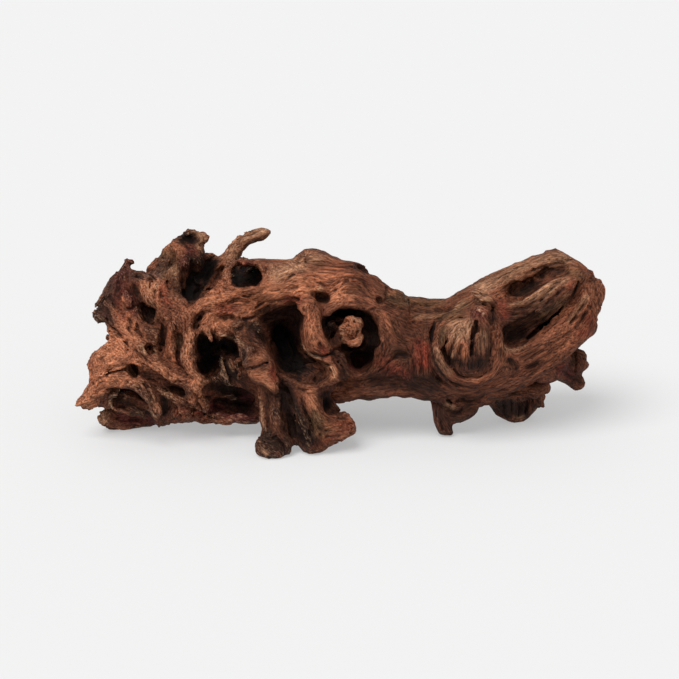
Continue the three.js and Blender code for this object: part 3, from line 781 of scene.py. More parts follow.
@dataclass
class LowerLobe(Part):
    """The smooth orange lobe at the lower left, its arch and the foot under it."""

    name: str = "lower lobe"
    arch_depth: float = 4.0
    limbs: tuple[Limb, ...] = (
        grow((-147, -12.4, 12, 3.2), (-144.6, -18, 12, 3.8), (-145, -24, 12, 3.4), blend=2.5),
        carve((-143.6, 7.4, 22, 3), (-141.6, 3.6, 22, 3), (-141.4, 0, 22, 3), (-144, -2.2, 22, 3),
              (-148.4, -5, 22, 3), (-153, -9.4, 22, 2.6), (-154, -14, 22, 2.4), deep=13, blend=0.8),
        carve((-153.4, -17.6, 20, 2.8), (-153, -22, 20, 2.8), (-153, -26, 20, 2.8), (-155, -29.8, 20, 2.4),
              deep=13, blend=0.8),
        grow((-146, -31, 11, 5), (-151, -36, 11, 3.6), (-156, -38, 11, 2), blend=2),
        grow((-143, -36, 10, 4), (-140, -38, 6, 4), blend=3),
        grow((-136, -32, -8, 6), (-130, -34, -8, 8), (-120, -37, -6, 8), blend=3),
        grow((-135, -39, 0, 5), (-127, -39, 3, 6.4), (-118, -42, 2, 5.6), blend=3),
        grow((-141, -45, 0, 4), (-142, -48, 0, 3), blend=2),
        carve((-148, -43.5, 8, 1.6), (-144, -42, 8, 1.4), deep=5, blend=0.8),
    )
    marks: tuple[Mark, ...] = (
        ridge(5, 2.2, (-110, -23), (-104, -27), (-98, -30), blend=3),
        ridge(3.2, 1.2, (-139, -24.5), (-133, -23.4), (-126, -24.6), (-119, -28.6), (-114.5, -34),
              (-112, -41), (-110.6, -46.6), blend=2.4),
        groove(0.7, 1, (-132, -22.6), (-125, -23.4), (-118, -27), (-113.6, -33), (-111.4, -40)),
        groove(0.7, 1, (-130, -25), (-123, -26.6), (-117, -31), (-113.4, -38)),
        groove(3, arch_depth, (-135.5, -30.5), (-130, -29.5), (-125, -31.5), (-120.5, -35)),
        groove(3.6, arch_depth, (-134, -37), (-127, -37.5), (-119.5, -40)),
        groove(2.4, 5, (-117, -42.5), (-114.5, -46.5)),
        ridge(1, 1.6, (-131.5, -31), (-136, -34), (-138, -38), (-136, -41.5), (-132.5, -42.5)),
        ridge(0.9, 1.4, (-129, -32), (-124.5, -34), (-121.5, -37)),
        ridge(4.2, 2.8, (-133, -36.5), (-127, -36), (-122, -39), blend=1.5),
        groove(0.8, 1, (-134, -39.5), (-128, -40.5), (-121, -43)),
        groove(3.2, 8, (-124.5, -18), (-123, -20.5)),
        ridge(0.9, 1.2, (-124.5, -17), (-122.5, -21)),
        ridge(1.4, 1, (-132, -15), (-127.5, -12), (-124.5, -9.5)),
        groove(0.8, 1.2, (-139, -20.5), (-135, -18.3), (-129, -17.8)),
        groove(0.8, 1.3, (-129.5, -1), (-127, -4.5), (-125, -7.5)),
        groove(0.9, 1.6, (-119, -22), (-113, -22), (-107, -24), (-100, -25.6), (-93, -26), (-90.5, -24)),
        groove(0.8, 1, (-118, -26), (-113, -30), (-110, -35)),
        groove(1, 1, (-152, -16), (-149.5, -19)),
        groove(1, 1, (-151, -28), (-148, -27)),
        groove(2.8, 2.2, (-106, -28), (-99, -30), (-94, -31.5), blend=2),
        groove(4.2, 4.4, (-105, -37), (-104.5, -43), blend=2),
        ridge(1.6, 1.8, (-110, -30), (-103.5, -33), (-97.5, -35), (-92, -38), (-90, -37)),
        ridge(1.5, 1.6, (-99, -46), (-95, -42), (-90, -40), (-86, -38)),
        groove(1.2, 2, (-97, -39), (-92, -40.5), (-88, -43)),
        groove(1, 1.8, (-95, -45), (-89, -45)),
        ridge(1.3, 1, (-144.5, -48), (-143, -44), (-141, -41)),
        groove(0.8, 1, (-137, -45), (-133, -47), (-130, -45)),
    )
    # Painted shade: the darkest stains lie under the arch, in the pit and in the hollow by the leg, and the
    # UMBER stains beside the arch and along the groove above the leg are painted shade as well.
    stains: tuple[Stain, ...] = (
        stain(Tone.ORANGE, 11, (-135, -6), (-140, -14), (-138, -22), strength=1),
        stain(Tone.ORANGE, 6, (-147, -26), (-151, -35), (-156, -38)),
        stain(Tone.WARM, 5, (-149, -16), (-148, -24)),
        stain(Tone.ORANGE, 3.5, (-134, -24), (-126, -25), (-118, -30), (-113, -38)),
        stain(Tone.PALE, 1.6, (-113, -43), (-111, -46), strength=0.7),
        stain(Tone.ORANGE, 4, (-120, -14), (-110, -17), (-101, -22)),
        stain(Tone.DARK, 6, (-134, -34), (-127, -38), (-119, -43), strength=0.9),
        stain(Tone.UMBER, 5, (-116, -36), (-117, -30), (-124, -30), strength=0.9),
        stain(Tone.PALE, 0.9, (-132, -31), (-136.5, -34), (-138, -38), (-136, -41), strength=0.8),
        stain(Tone.WINE, 4, (-129, -47), (-122, -49), (-115, -49), strength=0.9),
        stain(Tone.TAN, 3, (-142, -44), (-142, -48)),
        stain(Tone.DARK, 3, (-124, -19)),
        stain(Tone.DARK, 4.5, (-104, -36), (-104, -43), strength=1),
        stain(Tone.UMBER, 3.5, (-103, -29), (-95, -31), (-92, -34)),
        stain(Tone.TAN, 1.6, (-106, -32), (-102, -34)),
        stain(Tone.RED, 3, (-97, -45), (-91, -43), (-84, -44)),
    )


@dataclass
class UpperStrap(Part):
    """The broad strap over the left half, with its round hole, its pits and the crown above."""

    name: str = "upper strap"
    limbs: tuple[Limb, ...] = (
        grow((-23, 44.5, 14, 5), (-18.5, 47, 13, 7.2), (-13, 46.4, 12, 7), (-7, 44.2, 12, 6.6),
             (0, 42, 12, 6.2), (7, 41, 12, 5.6), (12, 39.6, 12, 5), blend=5),
        carve((-59.5, 38, 17, 6), (-52, 38.6, 17, 5.8), deep=2.2, blend=1.2),
        carve((-58.4, 36, 24, 5.8), (-52, 36.2, 24, 5.6), deep=2.6, blend=0.8),
        carve((22.9, 41.4, 4, 3), (28.2, 36, 4, 3.2), (33.2, 32.6, 4, 3.8), (38.6, 30.2, 4, 3.8),
              (46, 28.2, 4, 3.6), (54, 29, 4, 3.2), deep=7, blend=1.5),
        carve((-31, 53, 0, 3.4), (-25, 54.5, 0, 3.2), (-22.5, 57, 0, 1.6), deep=6, blend=1),
        carve((11, 44, 14, 3), (14, 42, 14, 3.4), (17, 40.2, 13, 2.4), deep=2.4, blend=0.8),
        carve((-23, 57.2, 10, 2.6), (-18, 59.4, 10, 2.6), (-10, 56.2, 12, 2.8), (-3, 52.4, 14, 2.8),
              (3, 50.4, 14, 3), (11, 49.8, 14, 3), (17, 46.6, 14, 3), (21, 42, 14, 3), deep=14, blend=1),
    )
    marks: tuple[Mark, ...] = (
        groove(2.2, 3, (-64, 36), (-64, 42), (-60, 45)),
        groove(0.8, 1.1, (-47, 45.5), (-44, 42), (-45, 37)),
        ridge(1.5, 1.3, (-66, 45), (-69, 39), (-67.5, 33.5)),
        ridge(1.2, 0.8, (-66, 30), (-60, 28.6), (-53, 28.8)),
        groove(1.2, 1.6, (-70, 41.5), (-67.5, 42.5)),
        groove(0.9, 1.4, (-73.5, 36), (-72, 37.5)),
        groove(0.8, 1.2, (-79, 30.5), (-75, 30), (-72, 28)),
        groove(1, 1.3, (-70.5, 18.8), (-69.5, 19)),
        groove(0.9, 1.4, (-69, 13), (-64.5, 13.4)),
        groove(0.8, 1, (-60, 15), (-54, 18), (-49, 20), (-43, 23)),
        groove(0.8, 1, (-62, 11.5), (-55, 13), (-47, 17), (-42, 20)),
        groove(0.8, 1.2, (-42, 29), (-36, 29.5), (-27, 30.6), (-19, 31.4), (-15, 31.6)),
        groove(0.8, 1.2, (-33.5, 35.5), (-30.5, 37.3), (-27.5, 38.7)),
        groove(0.8, 1, (-37, 22.5), (-31, 24.5), (-25, 24)),
        ridge(1.3, 0.9, (-36, 21), (-29, 25.5), (-21, 28), (-14, 30)),
        groove(0.8, 1, (-24, 29), (-18, 29.6), (-14.5, 28)),
        groove(0.8, 1.1, (-7, 31), (-3, 32.5), (3, 36), (8, 37), (14, 35), (19, 31), (23, 27)),
        groove(0.8, 1.1, (-7, 29), (-1, 30), (4, 34.2), (9, 35), (15, 32), (20, 27)),
        ridge(1.6, 1.2, (-7, 23), (-3, 27), (2, 31), (8, 33), (14, 31), (19, 27)),
        groove(0.8, 1, (-12, 34), (-9, 32), (-7, 29)),
        groove(2.7, 5, (-12, 25), (-9, 24.3)),
        groove(1.6, 2.2, (-15.5, 27.5), (-13, 26.5)),
        ridge(1, 1.2, (-14, 30.5), (-11.5, 29.5), (-10.5, 31)),
        groove(1.4, 3, (24, 24.5), (24.4, 23.2)),
        ridge(0.9, 0.8, (20.5, 25), (23, 27), (26, 25.5), (27, 22.5), (24.5, 21)),
        ridge(1.8, 1, (-24, 47), (-22, 50), (-20, 54), blend=2),
        groove(2.2, 1.2, (-27, 49), (-24, 46), (-22, 44), blend=2),
        groove(0.7, 1, (-101, 20), (-97, 13), (-95, 5)),
        groove(0.7, 1, (-97, 20), (-93.5, 12), (-91.5, 3)),
        ridge(1, 1.2, (-104.5, 16.5), (-101, 12), (-99, 6)),
        ridge(0.9, 1, (-98.5, 14), (-96, 9), (-94, 3)),
        groove(0.8, 1, (-62, 28), (-56, 26), (-50, 27)),
        groove(0.8, 1, (-66, 22), (-60, 24), (-55, 22)),
    )
    # Painted shade: the near-black linings fill the round hole, the near-black stain the cut at the crown,
    # and the darkest stain the pit.
    stains: tuple[Stain, ...] = (
        stain(Tone.WARM, 12, (-84, 18), (-70, 22), (-58, 22), (-40, 30), (-22, 36), (-6, 38), strength=0.9),
        stain(Tone.ORANGE, 8, (-76, 18), (-60, 16), (-50, 20), (-38, 26), (-26, 28), strength=0.7),
        stain(Tone.ORANGE, 5, (-68, 9), (-60, 8), (-54, 7)),
        stain(Tone.TAN, 6, (-36, 40), (-26, 44), (-14, 49)),
        stain(Tone.ORANGE, 3.5, (-3, 25), (2, 29), (5, 27)),
        stain(Tone.RED, 3.2, (-71, 18), (-64, 18)),
        lining(Tone.BLACK, 9, (-60, 37), (-51, 38), strength=1),
        lining(Tone.BLACK, 8, (-58, 40), (-52, 40), strength=1),
        stain(Tone.RED, 2.5, (-60, 45.5), (-54, 45.5)),
        stain(Tone.DARK, 3, (-11, 25), (-8, 24)),
        stain(Tone.BROWN, 3.5, (8, 30), (14, 28)),
        stain(Tone.BLACK, 3, (11, 44), (14, 42), (17, 40)),
        stain(Tone.RED, 3, (-31, 24), (-24, 24)),
        stain(Tone.PALE, 0.8, (-12, 31), (-11, 30), strength=0.6),
        stain(Tone.BROWN, 3, (-57, 4), (-52, 2), (-50, -2)),
    )
    guides: tuple[Line, ...] = (
        ((-90, 16, 28), (-74, 16, 30), (-58, 16, 30), (-44, 22, 28), (-28, 27, 26), (-12, 31, 28)),
        ((-78, 28, 28), (-62, 26, 30), (-46, 30, 28), (-28, 34, 24), (-8, 36, 26)),
        ((-42, 44, 12), (-24, 42, 16), (-4, 42, 16), (14, 38, 20), (26, 28, 24)),
        ((-60, 30, -34), (-36, 34, -26), (-10, 34, -30)),
        ((18, 36, 18), (29, 27, 22), (42, 21, 24)),
        ((22, 27, 26), (31, 18, 27), (44, 12, 28)),
        ((27, 14, 28), (34, 7, 28), (44, 3, 29)),
    )


@dataclass
class Eyes(Part):
    """The two black holes in the left half, their rims, and the recess and ridges below them."""

    name: str = "eyes"
    limbs: tuple[Limb, ...] = (
        carve((-79.4, -5.5, 24, 7.9), (-78.8, -13.2, 24, 8.6), deep=2.4, blend=1),
        carve((-74, -4.6, 25, 6), (-68, -4.6, 25, 6.4), (-62.6, -7.4, 26, 4.8), deep=2.4, blend=0.8),
        grow((-73, -46.2, 4, 4), (-52, -46.4, 4, 4), blend=2),
        carve((-68, -14, 27, 5.4), (-65, -20, 27, 4.6), deep=1.5, blend=1),
    )
    spurs: tuple[Limb, ...] = (
        grow((-79.4, 4.6, 30, 2.6), (-78, 1.4, 31, 1.5), (-77.3, -1.6, 31, 0.6), blend=0.8),
    )
    marks: tuple[Mark, ...] = (
        groove(2.7, 5.5, (-82.3, 15.5), (-84.5, 11.5), (-87.5, 7)),
        ridge(1.2, 1.1, (-80, 15), (-83.5, 9), (-88, 4.5)),
        ridge(1.3, 1.2, (-89.5, 14), (-90, 8), (-89, 3)),
        groove(3.3, 3.6, (-97, 1), (-96, -5), (-96, -12), (-94, -17)),
        ridge(2, 1.4, (-103, 6), (-102, -3), (-100, -11), (-96, -18), blend=1.5),
        ridge(1.4, 1.5, (-90, 2), (-91.5, -2), (-93.5, -8), (-92, -14), (-89, -20), (-86, -24)),
        ridge(1.1, 1.3, (-87.5, 3), (-88.5, -3), (-88.6, -10), (-87, -16), (-84, -21)),
        groove(0.8, 1.3, (-89.5, 0), (-90.5, -7), (-89.8, -13), (-87, -19)),
        groove(0.7, 1.2, (-80.3, 7), (-79.7, 3)),
        groove(0.8, 1.2, (-77.5, 7), (-76.6, 2.5)),
        ridge(1.2, 1.3, (-73.5, 3.2), (-68, 3), (-63, 0.8), (-58, -3.6)),
        ridge(0.7, 1.6, (-70.2, -12), (-69.6, -17), (-67, -23)),
        ridge(0.7, 1.4, (-67, -13), (-65.5, -17), (-63, -21)),
        ridge(0.8, 2, (-64.5, -14), (-62.5, -18), (-60.6, -20)),
        ridge(0.8, 1.8, (-71.5, -19), (-69, -22.6), (-66, -25)),
        groove(0.9, 2, (-68.3, -13), (-66.8, -19), (-65, -23)),
        groove(0.8, 1.8, (-65, -15), (-63, -19), (-61, -22)),
        groove(1.2, 2.4, (-63, -18), (-60, -22)),
        groove(1, 1.6, (-84, -22), (-80, -24), (-76, -23)),
        ridge(1, 1, (-87, -20), (-83, -23.5), (-78, -25)),
        groove(0.9, 2, (-88.5, -28), (-87, -34), (-84, -39), (-80, -44), (-76, -47)),
        groove(0.8, 1.2, (-83, -34), (-80.5, -34.6)),
        groove(7, 7.5, (-73, -31), (-64, -33), (-56, -37)),
        groove(5, 6, (-72, -39), (-60, -41), (-53, -43)),
        groove(0.8, 1, (-76, -36), (-68, -38), (-60, -38)),
        groove(0.8, 1.2, (-84, -44), (-80, -43.4), (-76, -43.6)),
        ridge(1, 1, (-71, -46.5), (-65, -48)),
        groove(1, 1.6, (-90, -26.5), (-88, -24)),
        groove(0.7, 1, (-97, -21), (-93, -22), (-90, -21)),
    )
    # Painted shade: the near-black stains and linings make the two holes and the recess below them dark, the
    # darkest stains fill the recess under the rims, and the UMBER stain lies in the groove at the top.
    stains: tuple[Stain, ...] = (
        stain(Tone.BLACK, 8, (-80, -4), (-79, -13), strength=1),
        stain(Tone.BLACK, 5.6, (-72, -4), (-66, -5), (-63, -9), strength=1),
        lining(Tone.BLACK, 6, (-68, -12), (-66, -17), strength=0.9),
        lining(Tone.DARK, 6, (-69, -19), (-66, -21), (-62, -20), strength=1),
        stain(Tone.UMBER, 3, (-83, 14), (-87, 8), strength=0.9),
        stain(Tone.OLIVE, 3.4, (-96, -1), (-96, -8)),
        stain(Tone.WINE, 2.4, (-97, -9), (-97, -13)),
        stain(Tone.WARM, 2.4, (-102, 4), (-102, -6), (-99, -15)),
        stain(Tone.ORANGE, 2.2, (-90, 3), (-92, -8), (-90, -18)),
        lining(Tone.TAN, 0.6, (-70, -12), (-69.4, -17), (-67, -23), strength=0.6),
        lining(Tone.TAN, 0.6, (-66.6, -14), (-64, -19), strength=0.6),
        lining(Tone.TAN, 0.6, (-71, -19.6), (-68, -23.6), strength=0.6),
        stain(Tone.ORANGE, 4, (-85, -26), (-84, -33), strength=1),
        stain(Tone.WARM, 3, (-83, -38), (-88, -37)),
        stain(Tone.DARK, 10, (-70, -32), (-60, -36), (-56, -42), strength=1),
        stain(Tone.DARK, 6, (-66, -30), (-56, -33), (-66, -39), strength=0.9),
        stain(Tone.WINE, 5, (-76, -42), (-66, -45), (-54, -46), strength=0.9),
        stain(Tone.WINE, 2.5, (-58, -34), (-53, -35)),
        stain(Tone.PALE, 0.9, (-70, 2.4), (-63, 1), (-58, -3.4), strength=0.6),
    )


@dataclass
class Claw(Part):
    """The claw that hangs over the middle, and the front leg under it."""

    name: str = "claw and leg"
    limbs: tuple[Limb, ...] = (
        carve((-60, 10, 46, 6), (-54, 5, 45, 9), (-49, 1, 46, 6), deep=1.25, blend=4),
        carve((-42, 8, 42, 6), (-41.6, 1, 44, 6), (-39.4, -6, 44, 4.6), (-37.2, -12, 44, 3.2),
              (-36, -18, 44, 2), deep=3, blend=1.5),
        grow((-50, -8, 34, 6), (-48.4, -13, 37, 6.6), (-46, -18, 38, 7), (-41.6, -24, 37, 4.4),
             (-38.6, -29.6, 36, 1.6), blend=3, deep=0.7),
        grow((-54, -16, 36, 3), (-50, -21, 37, 3.6), (-43, -25, 37, 3), (-38.5, -29.5, 36, 1.3), blend=2),
        grow((-41, -61, 27, 7), (-44.6, -65, 27, 4.6), blend=2),
        carve((-50.6, -49, 28, 2.6), (-49.4, -54, 28, 3), (-50.2, -58, 28, 3), (-52.4, -61.6, 28, 2.4),
              deep=6, blend=1),
        grow((-12, -34, 20, 6), (-8, -39, 18, 5.4), (-4.6, -43.6, 18, 4.6), blend=3),
        grow((4, -50, 19, 5), (7, -53, 20, 3.6), (1, -56, 22, 4), blend=2.5),
        carve((-27, -66, 26, 3), (-27, -71, 26, 4), deep=6, blend=1),
        carve((-1, -66, 22, 2), (5, -63.5, 22, 3), (11, -60, 22, 2), deep=6, blend=1.5),
        carve((4, -40.2, 20, 2), (8.8, -45.4, 20, 2), (12.3, -51, 20, 2), (12.5, -56, 20, 2), deep=9,
              blend=0.8),
    )
    marks: tuple[Mark, ...] = (
        groove(0.9, 2.6, (-57, -18), (-51, -17), (-46, -15.2), (-42.5, -14)),
        ridge(0.9, 0.9, (-57, -19.5), (-50, -18.6), (-44, -16.4)),
        groove(0.8, 1, (-54, -7), (-51, -4), (-48, -6)),
        groove(0.8, 1, (-52, -2), (-48, -4), (-44, -9)),
        ridge(1, 1, (-57.5, -21), (-52, -24), (-45, -26.6), (-39, -30)),
        ridge(1.2, 0.9, (-40.5, -13), (-38.6, -19), (-37, -26)),
        groove(1.4, 1.6, (-57.5, -6), (-57, -12)),
        ridge(1.1, 1, (-52, -31), (-48, -35), (-46.8, -41), (-46.2, -48), (-44, -54), (-41, -57),
              (-38.5, -55)),
        groove(1.4, 2, (-44, -34), (-43.6, -40), (-43.8, -46), (-42.5, -52)),
        ridge(3.4, 1.2, (-40, -43), (-38, -50), (-35, -56), blend=2.5),
        groove(2.4, 3.4, (-34, -33), (-33, -42), (-29, -51), (-28, -58), blend=2),
        groove(0.9, 1.2, (-46, -59.5), (-42, -60.4), (-38, -58)),
        groove(1, 1.8, (-48, -63), (-45, -66), (-41, -66)),
        groove(0.9, 1.6, (-45, -62), (-42, -64.5), (-43, -67)),
        ridge(0.9, 1.2, (-47, -65), (-44.5, -68.5)),
        ridge(0.9, 1, (-44, -64.4), (-42.6, -66.6)),
        groove(0.9, 1.4, (-37, -60), (-34, -63), (-33, -66)),
        ridge(1.8, 1.6, (-28, -32), (-26, -37), (-24.5, -43), (-22, -48), blend=1.5),
        groove(1, 1.6, (-30, -36), (-27, -42), (-26, -48)),
        groove(1.4, 2.2, (-22.5, -36), (-21, -42), (-18, -48), (-16, -54)),
        ridge(3.6, 1.8, (-17.5, -31), (-17, -38), (-13, -45), (-6, -51), (0, -54), blend=2.5),
        groove(3, 2.4, (-9, -34.5), (-9, -40), blend=2),
        groove(0.9, 1.4, (-12, -53.5), (-7, -54.6), (-2, -53.5), (3, -52)),
        groove(0.8, 1.3, (-6, -49), (-1, -50.5), (4, -50)),
        groove(0.8, 1.3, (-1, -47), (4, -47.6), (7, -50.5)),
        ridge(0.9, 1.2, (-8, -56.4), (-3, -55), (2, -55.5), (6, -53.6)),
        ridge(0.9, 1.2, (-2, -51.8), (2.5, -51.8), (5, -53)),
        groove(1, 1.6, (-12, -57), (-11, -62), (-8, -64)),
        groove(0.9, 1.4, (-8, -58.5), (-3, -58.5), (2, -57.5)),
        groove(0.9, 1.4, (5, -51), (7.5, -54), (6, -56)),
        groove(1, 1.4, (-19, -55), (-17, -61), (-14, -65)),
        groove(1.2, 2, (-25, -52), (-23, -58), (-21, -62)),
    )
    # Painted shade: the UMBER and darkest stains at the claw's top are the shadow side of the strap; the
    # near-black stains lie in the crease and the notch, the darkest ones in the grooves, down the column and
    # under the toe, and the UMBER one by the notch.
    stains: tuple[Stain, ...] = (
        stain(Tone.UMBER, 7, (-60, 9), (-52, 7), (-46, 1), strength=1),
        stain(Tone.DARK, 4, (-56, 9), (-50, 7), (-47, 1), strength=0.7),
        stain(Tone.BROWN, 8, (-56, -6), (-50, -14), (-44, -22), strength=0.6),
        stain(Tone.ORANGE, 2, (-52, -11), (-47, -10), strength=0.6),
        stain(Tone.GREY, 2.6, (-57, -7), (-57, -13)),
        stain(Tone.BLACK, 1, (-56, -18), (-46, -15.5), strength=0.8),
        stain(Tone.ORANGE, 2.6, (-54, -21), (-46, -23), (-40, -28)),
        stain(Tone.RED, 2.2, (-40, -18), (-39, -23)),
        stain(Tone.BROWN, 8, (-43, -36), (-40, -46), (-36, -54), strength=1),
        stain(Tone.UMBER, 3, (-38, -34), (-37, -44), (-34, -54), strength=0.7),
        stain(Tone.PALE, 0.7, (-48, -35), (-46.6, -42), (-46, -50), (-42, -57), strength=0.35),
        stain(Tone.DARK, 5, (-33, -32), (-31, -40), (-27, -48), (-25, -57), strength=0.9),
        stain(Tone.DARK, 8, (-46, -62), (-40, -64), (-34, -64), strength=0.97),
        stain(Tone.UMBER, 5, (-30, -62), (-22, -62), strength=0.7),
        stain(Tone.TAN, 1.4, (-47, -65), (-44, -68), strength=0.7),
        stain(Tone.ORANGE, 3.2, (-17, -33), (-16, -39), strength=0.9),
        stain(Tone.OLIVE, 4, (-15, -46), (-12, -51)),
        stain(Tone.WINE, 3.2, (-18, -56), (-17, -62)),
        stain(Tone.TAN, 2.4, (-6, -55), (0, -57), strength=0.7),
        stain(Tone.WARM, 5, (-6, -54), (2, -55), strength=0.6),
        stain(Tone.RED, 2.4, (0, -51), (7, -52), (-9, -60), strength=0.6),
        stain(Tone.UMBER, 3.4, (-5, -43), (0, -45), strength=0.8),
        stain(Tone.BLACK, 5, (-10, -33), (-8.6, -38), strength=1),
        stain(Tone.DARK, 8, (-27, -40), (-23, -50), (-21, -58), strength=0.95),
        stain(Tone.OLIVE, 4, (-14, -50), (-10, -56), strength=0.6),
    )
    guides: tuple[Line, ...] = (
        ((-44, -28, 28), (-42, -44, 30), (-42, -60, 30)),
        ((-18, -28, 30), (-17, -44, 30), (-14, -58, 28)),
        ((-60, 12, 30), (-52, -4, 38), (-40, -26, 38)),
    )


@dataclass
class GreatHollow(Part):
    """The great hollow in the middle, the winding strap beside it and its scooped lip."""

    name: str = "great hollow"
    limbs: tuple[Limb, ...] = (
        carve((-42, 11, 24, 6), (-34, 13, 24, 6), (-27, 15, 26, 4.4), deep=1.4, blend=2),
        carve((-40, 4, 26, 6.4), (-36, -6, 26, 6), (-32, -14, 26, 5.4), deep=2, blend=2),
        carve((-25.6, 12, 30, 5), (-26, 5, 30, 5), (-27.4, -2, 30, 4.8), deep=1.7, blend=1),
        grow((-17, 22, 28, 4.6), (-15.4, 14, 31, 4.8), (-15.6, 5, 33, 4.8), (-13.6, -2, 33, 5),
             (-9, -7, 32, 5), blend=2.5, deep=0.6),
        grow((-8, -9, 29, 5), (-1.6, -12, 27, 5), (2, -18, 25, 5), blend=3, deep=0.8),
        grow((-22, -22, 20, 6), (-12, -21, 25, 6), (-5, -20, 28, 4), blend=3),
    )
    marks: tuple[Mark, ...] = (
        groove(6.4, 6.4, (-36, 2), (-33, -4), (-31, -9)),
        groove(1, 1.4, (-42, 12), (-35, 14.5), (-28, 14)),
        groove(0.9, 1.2, (-44, 8), (-37, 11), (-30, 10)),
        groove(0.9, 1.4, (-30, 8), (-31, 0), (-28, -8)),
        ridge(1.2, 0.9, (-48, 12.5), (-40, 18.5), (-31, 21), (-23, 21.4)),
        groove(0.9, 1.3, (-20.5, 18), (-20, 9), (-19.5, 1)),
        groove(0.8, 1, (-17, 20), (-17, 11), (-16, 4)),
        ridge(0.9, 0.9, (-23.5, -2), (-20, -6), (-17, -9.4), (-12, -11.2)),
        groove(1.5, 4, (-21, -8.6), (-16, -12.2), (-10, -14.4), (-6, -15)),
        groove(0.8, 1.6, (-13.4, -15), (-13, -20), (-14.6, -24)),
        groove(0.8, 1.6, (-9.4, -15), (-8.6, -20), (-9.6, -24)),
        groove(1.4, 3.6, (-18, -8), (-12, -10.4), (-7, -9), (-2.6, -6.4)),
        groove(1.2, 2.4, (-6, -4), (-8, -8)),
        groove(1.6, 2.6, (-11.5, -3), (-9.5, -6.4)),
        ridge(1.2, 1.2, (-12, 1), (-9.5, -2), (-7, -4.5)),
        groove(0.9, 1.4, (-9, -9.8), (-4, -8.6), (0, -10)),
        ridge(1.3, 1.3, (-9, -12.5), (-4.5, -14.5), (-1.8, -19), (-1, -24)),
        groove(0.9, 1.4, (-1, -13), (2, -17), (3, -22)),
        groove(0.8, 1, (-8, -15), (-5, -18), (-4, -23)),
        groove(2.6, 2.6, (-16, -17), (-12, -21), (-13, -25), blend=2),
        ridge(1.1, 1.4, (-36, -21.5), (-30, -24), (-24, -27), (-18, -28.6), (-13, -28), (-7, -25.6),
              (-1, -24.6)),
        groove(0.9, 1.5, (-34, -24), (-27, -28), (-20, -30.4), (-13, -30.6), (-8, -28.6), (0, -26.4)),
        groove(0.8, 1.3, (-16, -26.6), (-12, -26.8), (-7, -23.8)),
        ridge(0.9, 0.9, (-19, -31.6), (-13, -32)),
        groove(1.6, 3, (-38, -27), (-34, -29), (-30, -30)),
    )
    # Painted shade: the near-black stains and linings fill the great hollow, the UMBER lining darkens its
    # upper wall, and the UMBER and darkest stains lie in the grooves below.
    stains: tuple[Stain, ...] = (
        stain(Tone.BLACK, 11, (-38, 6), (-36, -4), (-32, -12), (-28, -18), strength=1),
        stain(Tone.BLACK, 7, (-26, 15), (-25, 6), (-26, -2), strength=1),
        lining(Tone.UMBER, 7, (-43, 15), (-36, 16), (-29, 15), strength=0.9),
        lining(Tone.BLACK, 6, (-38, 2), (-33, -4), (-28, -14), strength=0.9),
        lining(Tone.BLACK, 5, (-26, -12), (-24, -18), strength=1),
        stain(Tone.WARM, 4, (-17, 14), (-16, 4), (-13, -3)),
        stain(Tone.ORANGE, 2.4, (-17, 8), (-16, 0)),
        stain(Tone.RED, 2.4, (-11, -5), (-7, -10)),
        stain(Tone.WARM, 3.2, (-8, -17), (-4, -20)),
        stain(Tone.BLACK, 5.5, (-26, -16), (-24, -21), strength=0.95),
        stain(Tone.UMBER, 5, (-18, -16), (-16, -22), strength=1),
        stain(Tone.BROWN, 4, (-11, -17), (-11, -22), strength=0.9),
        stain(Tone.ORANGE, 1.6, (-8, -14), (-5, -19), (-4, -23), strength=0.8),
        stain(Tone.UMBER, 4.4, (-1, -9), (3, -14), (3, -21), strength=0.9),
        stain(Tone.DARK, 1.4, (-17, -8.4), (-12, -10.6), (-7, -9.4), (-3, -7), strength=0.9),
        stain(Tone.BROWN, 3, (-9, -16), (-7, -20), (-8, -24), strength=0.8),
        stain(Tone.PALE, 0.6, (-5, -16), (-3, -20), (-3.4, -24), strength=0.5),
        stain(Tone.DARK, 3, (-33, -27), (-28, -30)),
        stain(Tone.PALE, 0.8, (-23, -2.4), (-18, -8.6), (-12, -11), strength=0.6),
    )


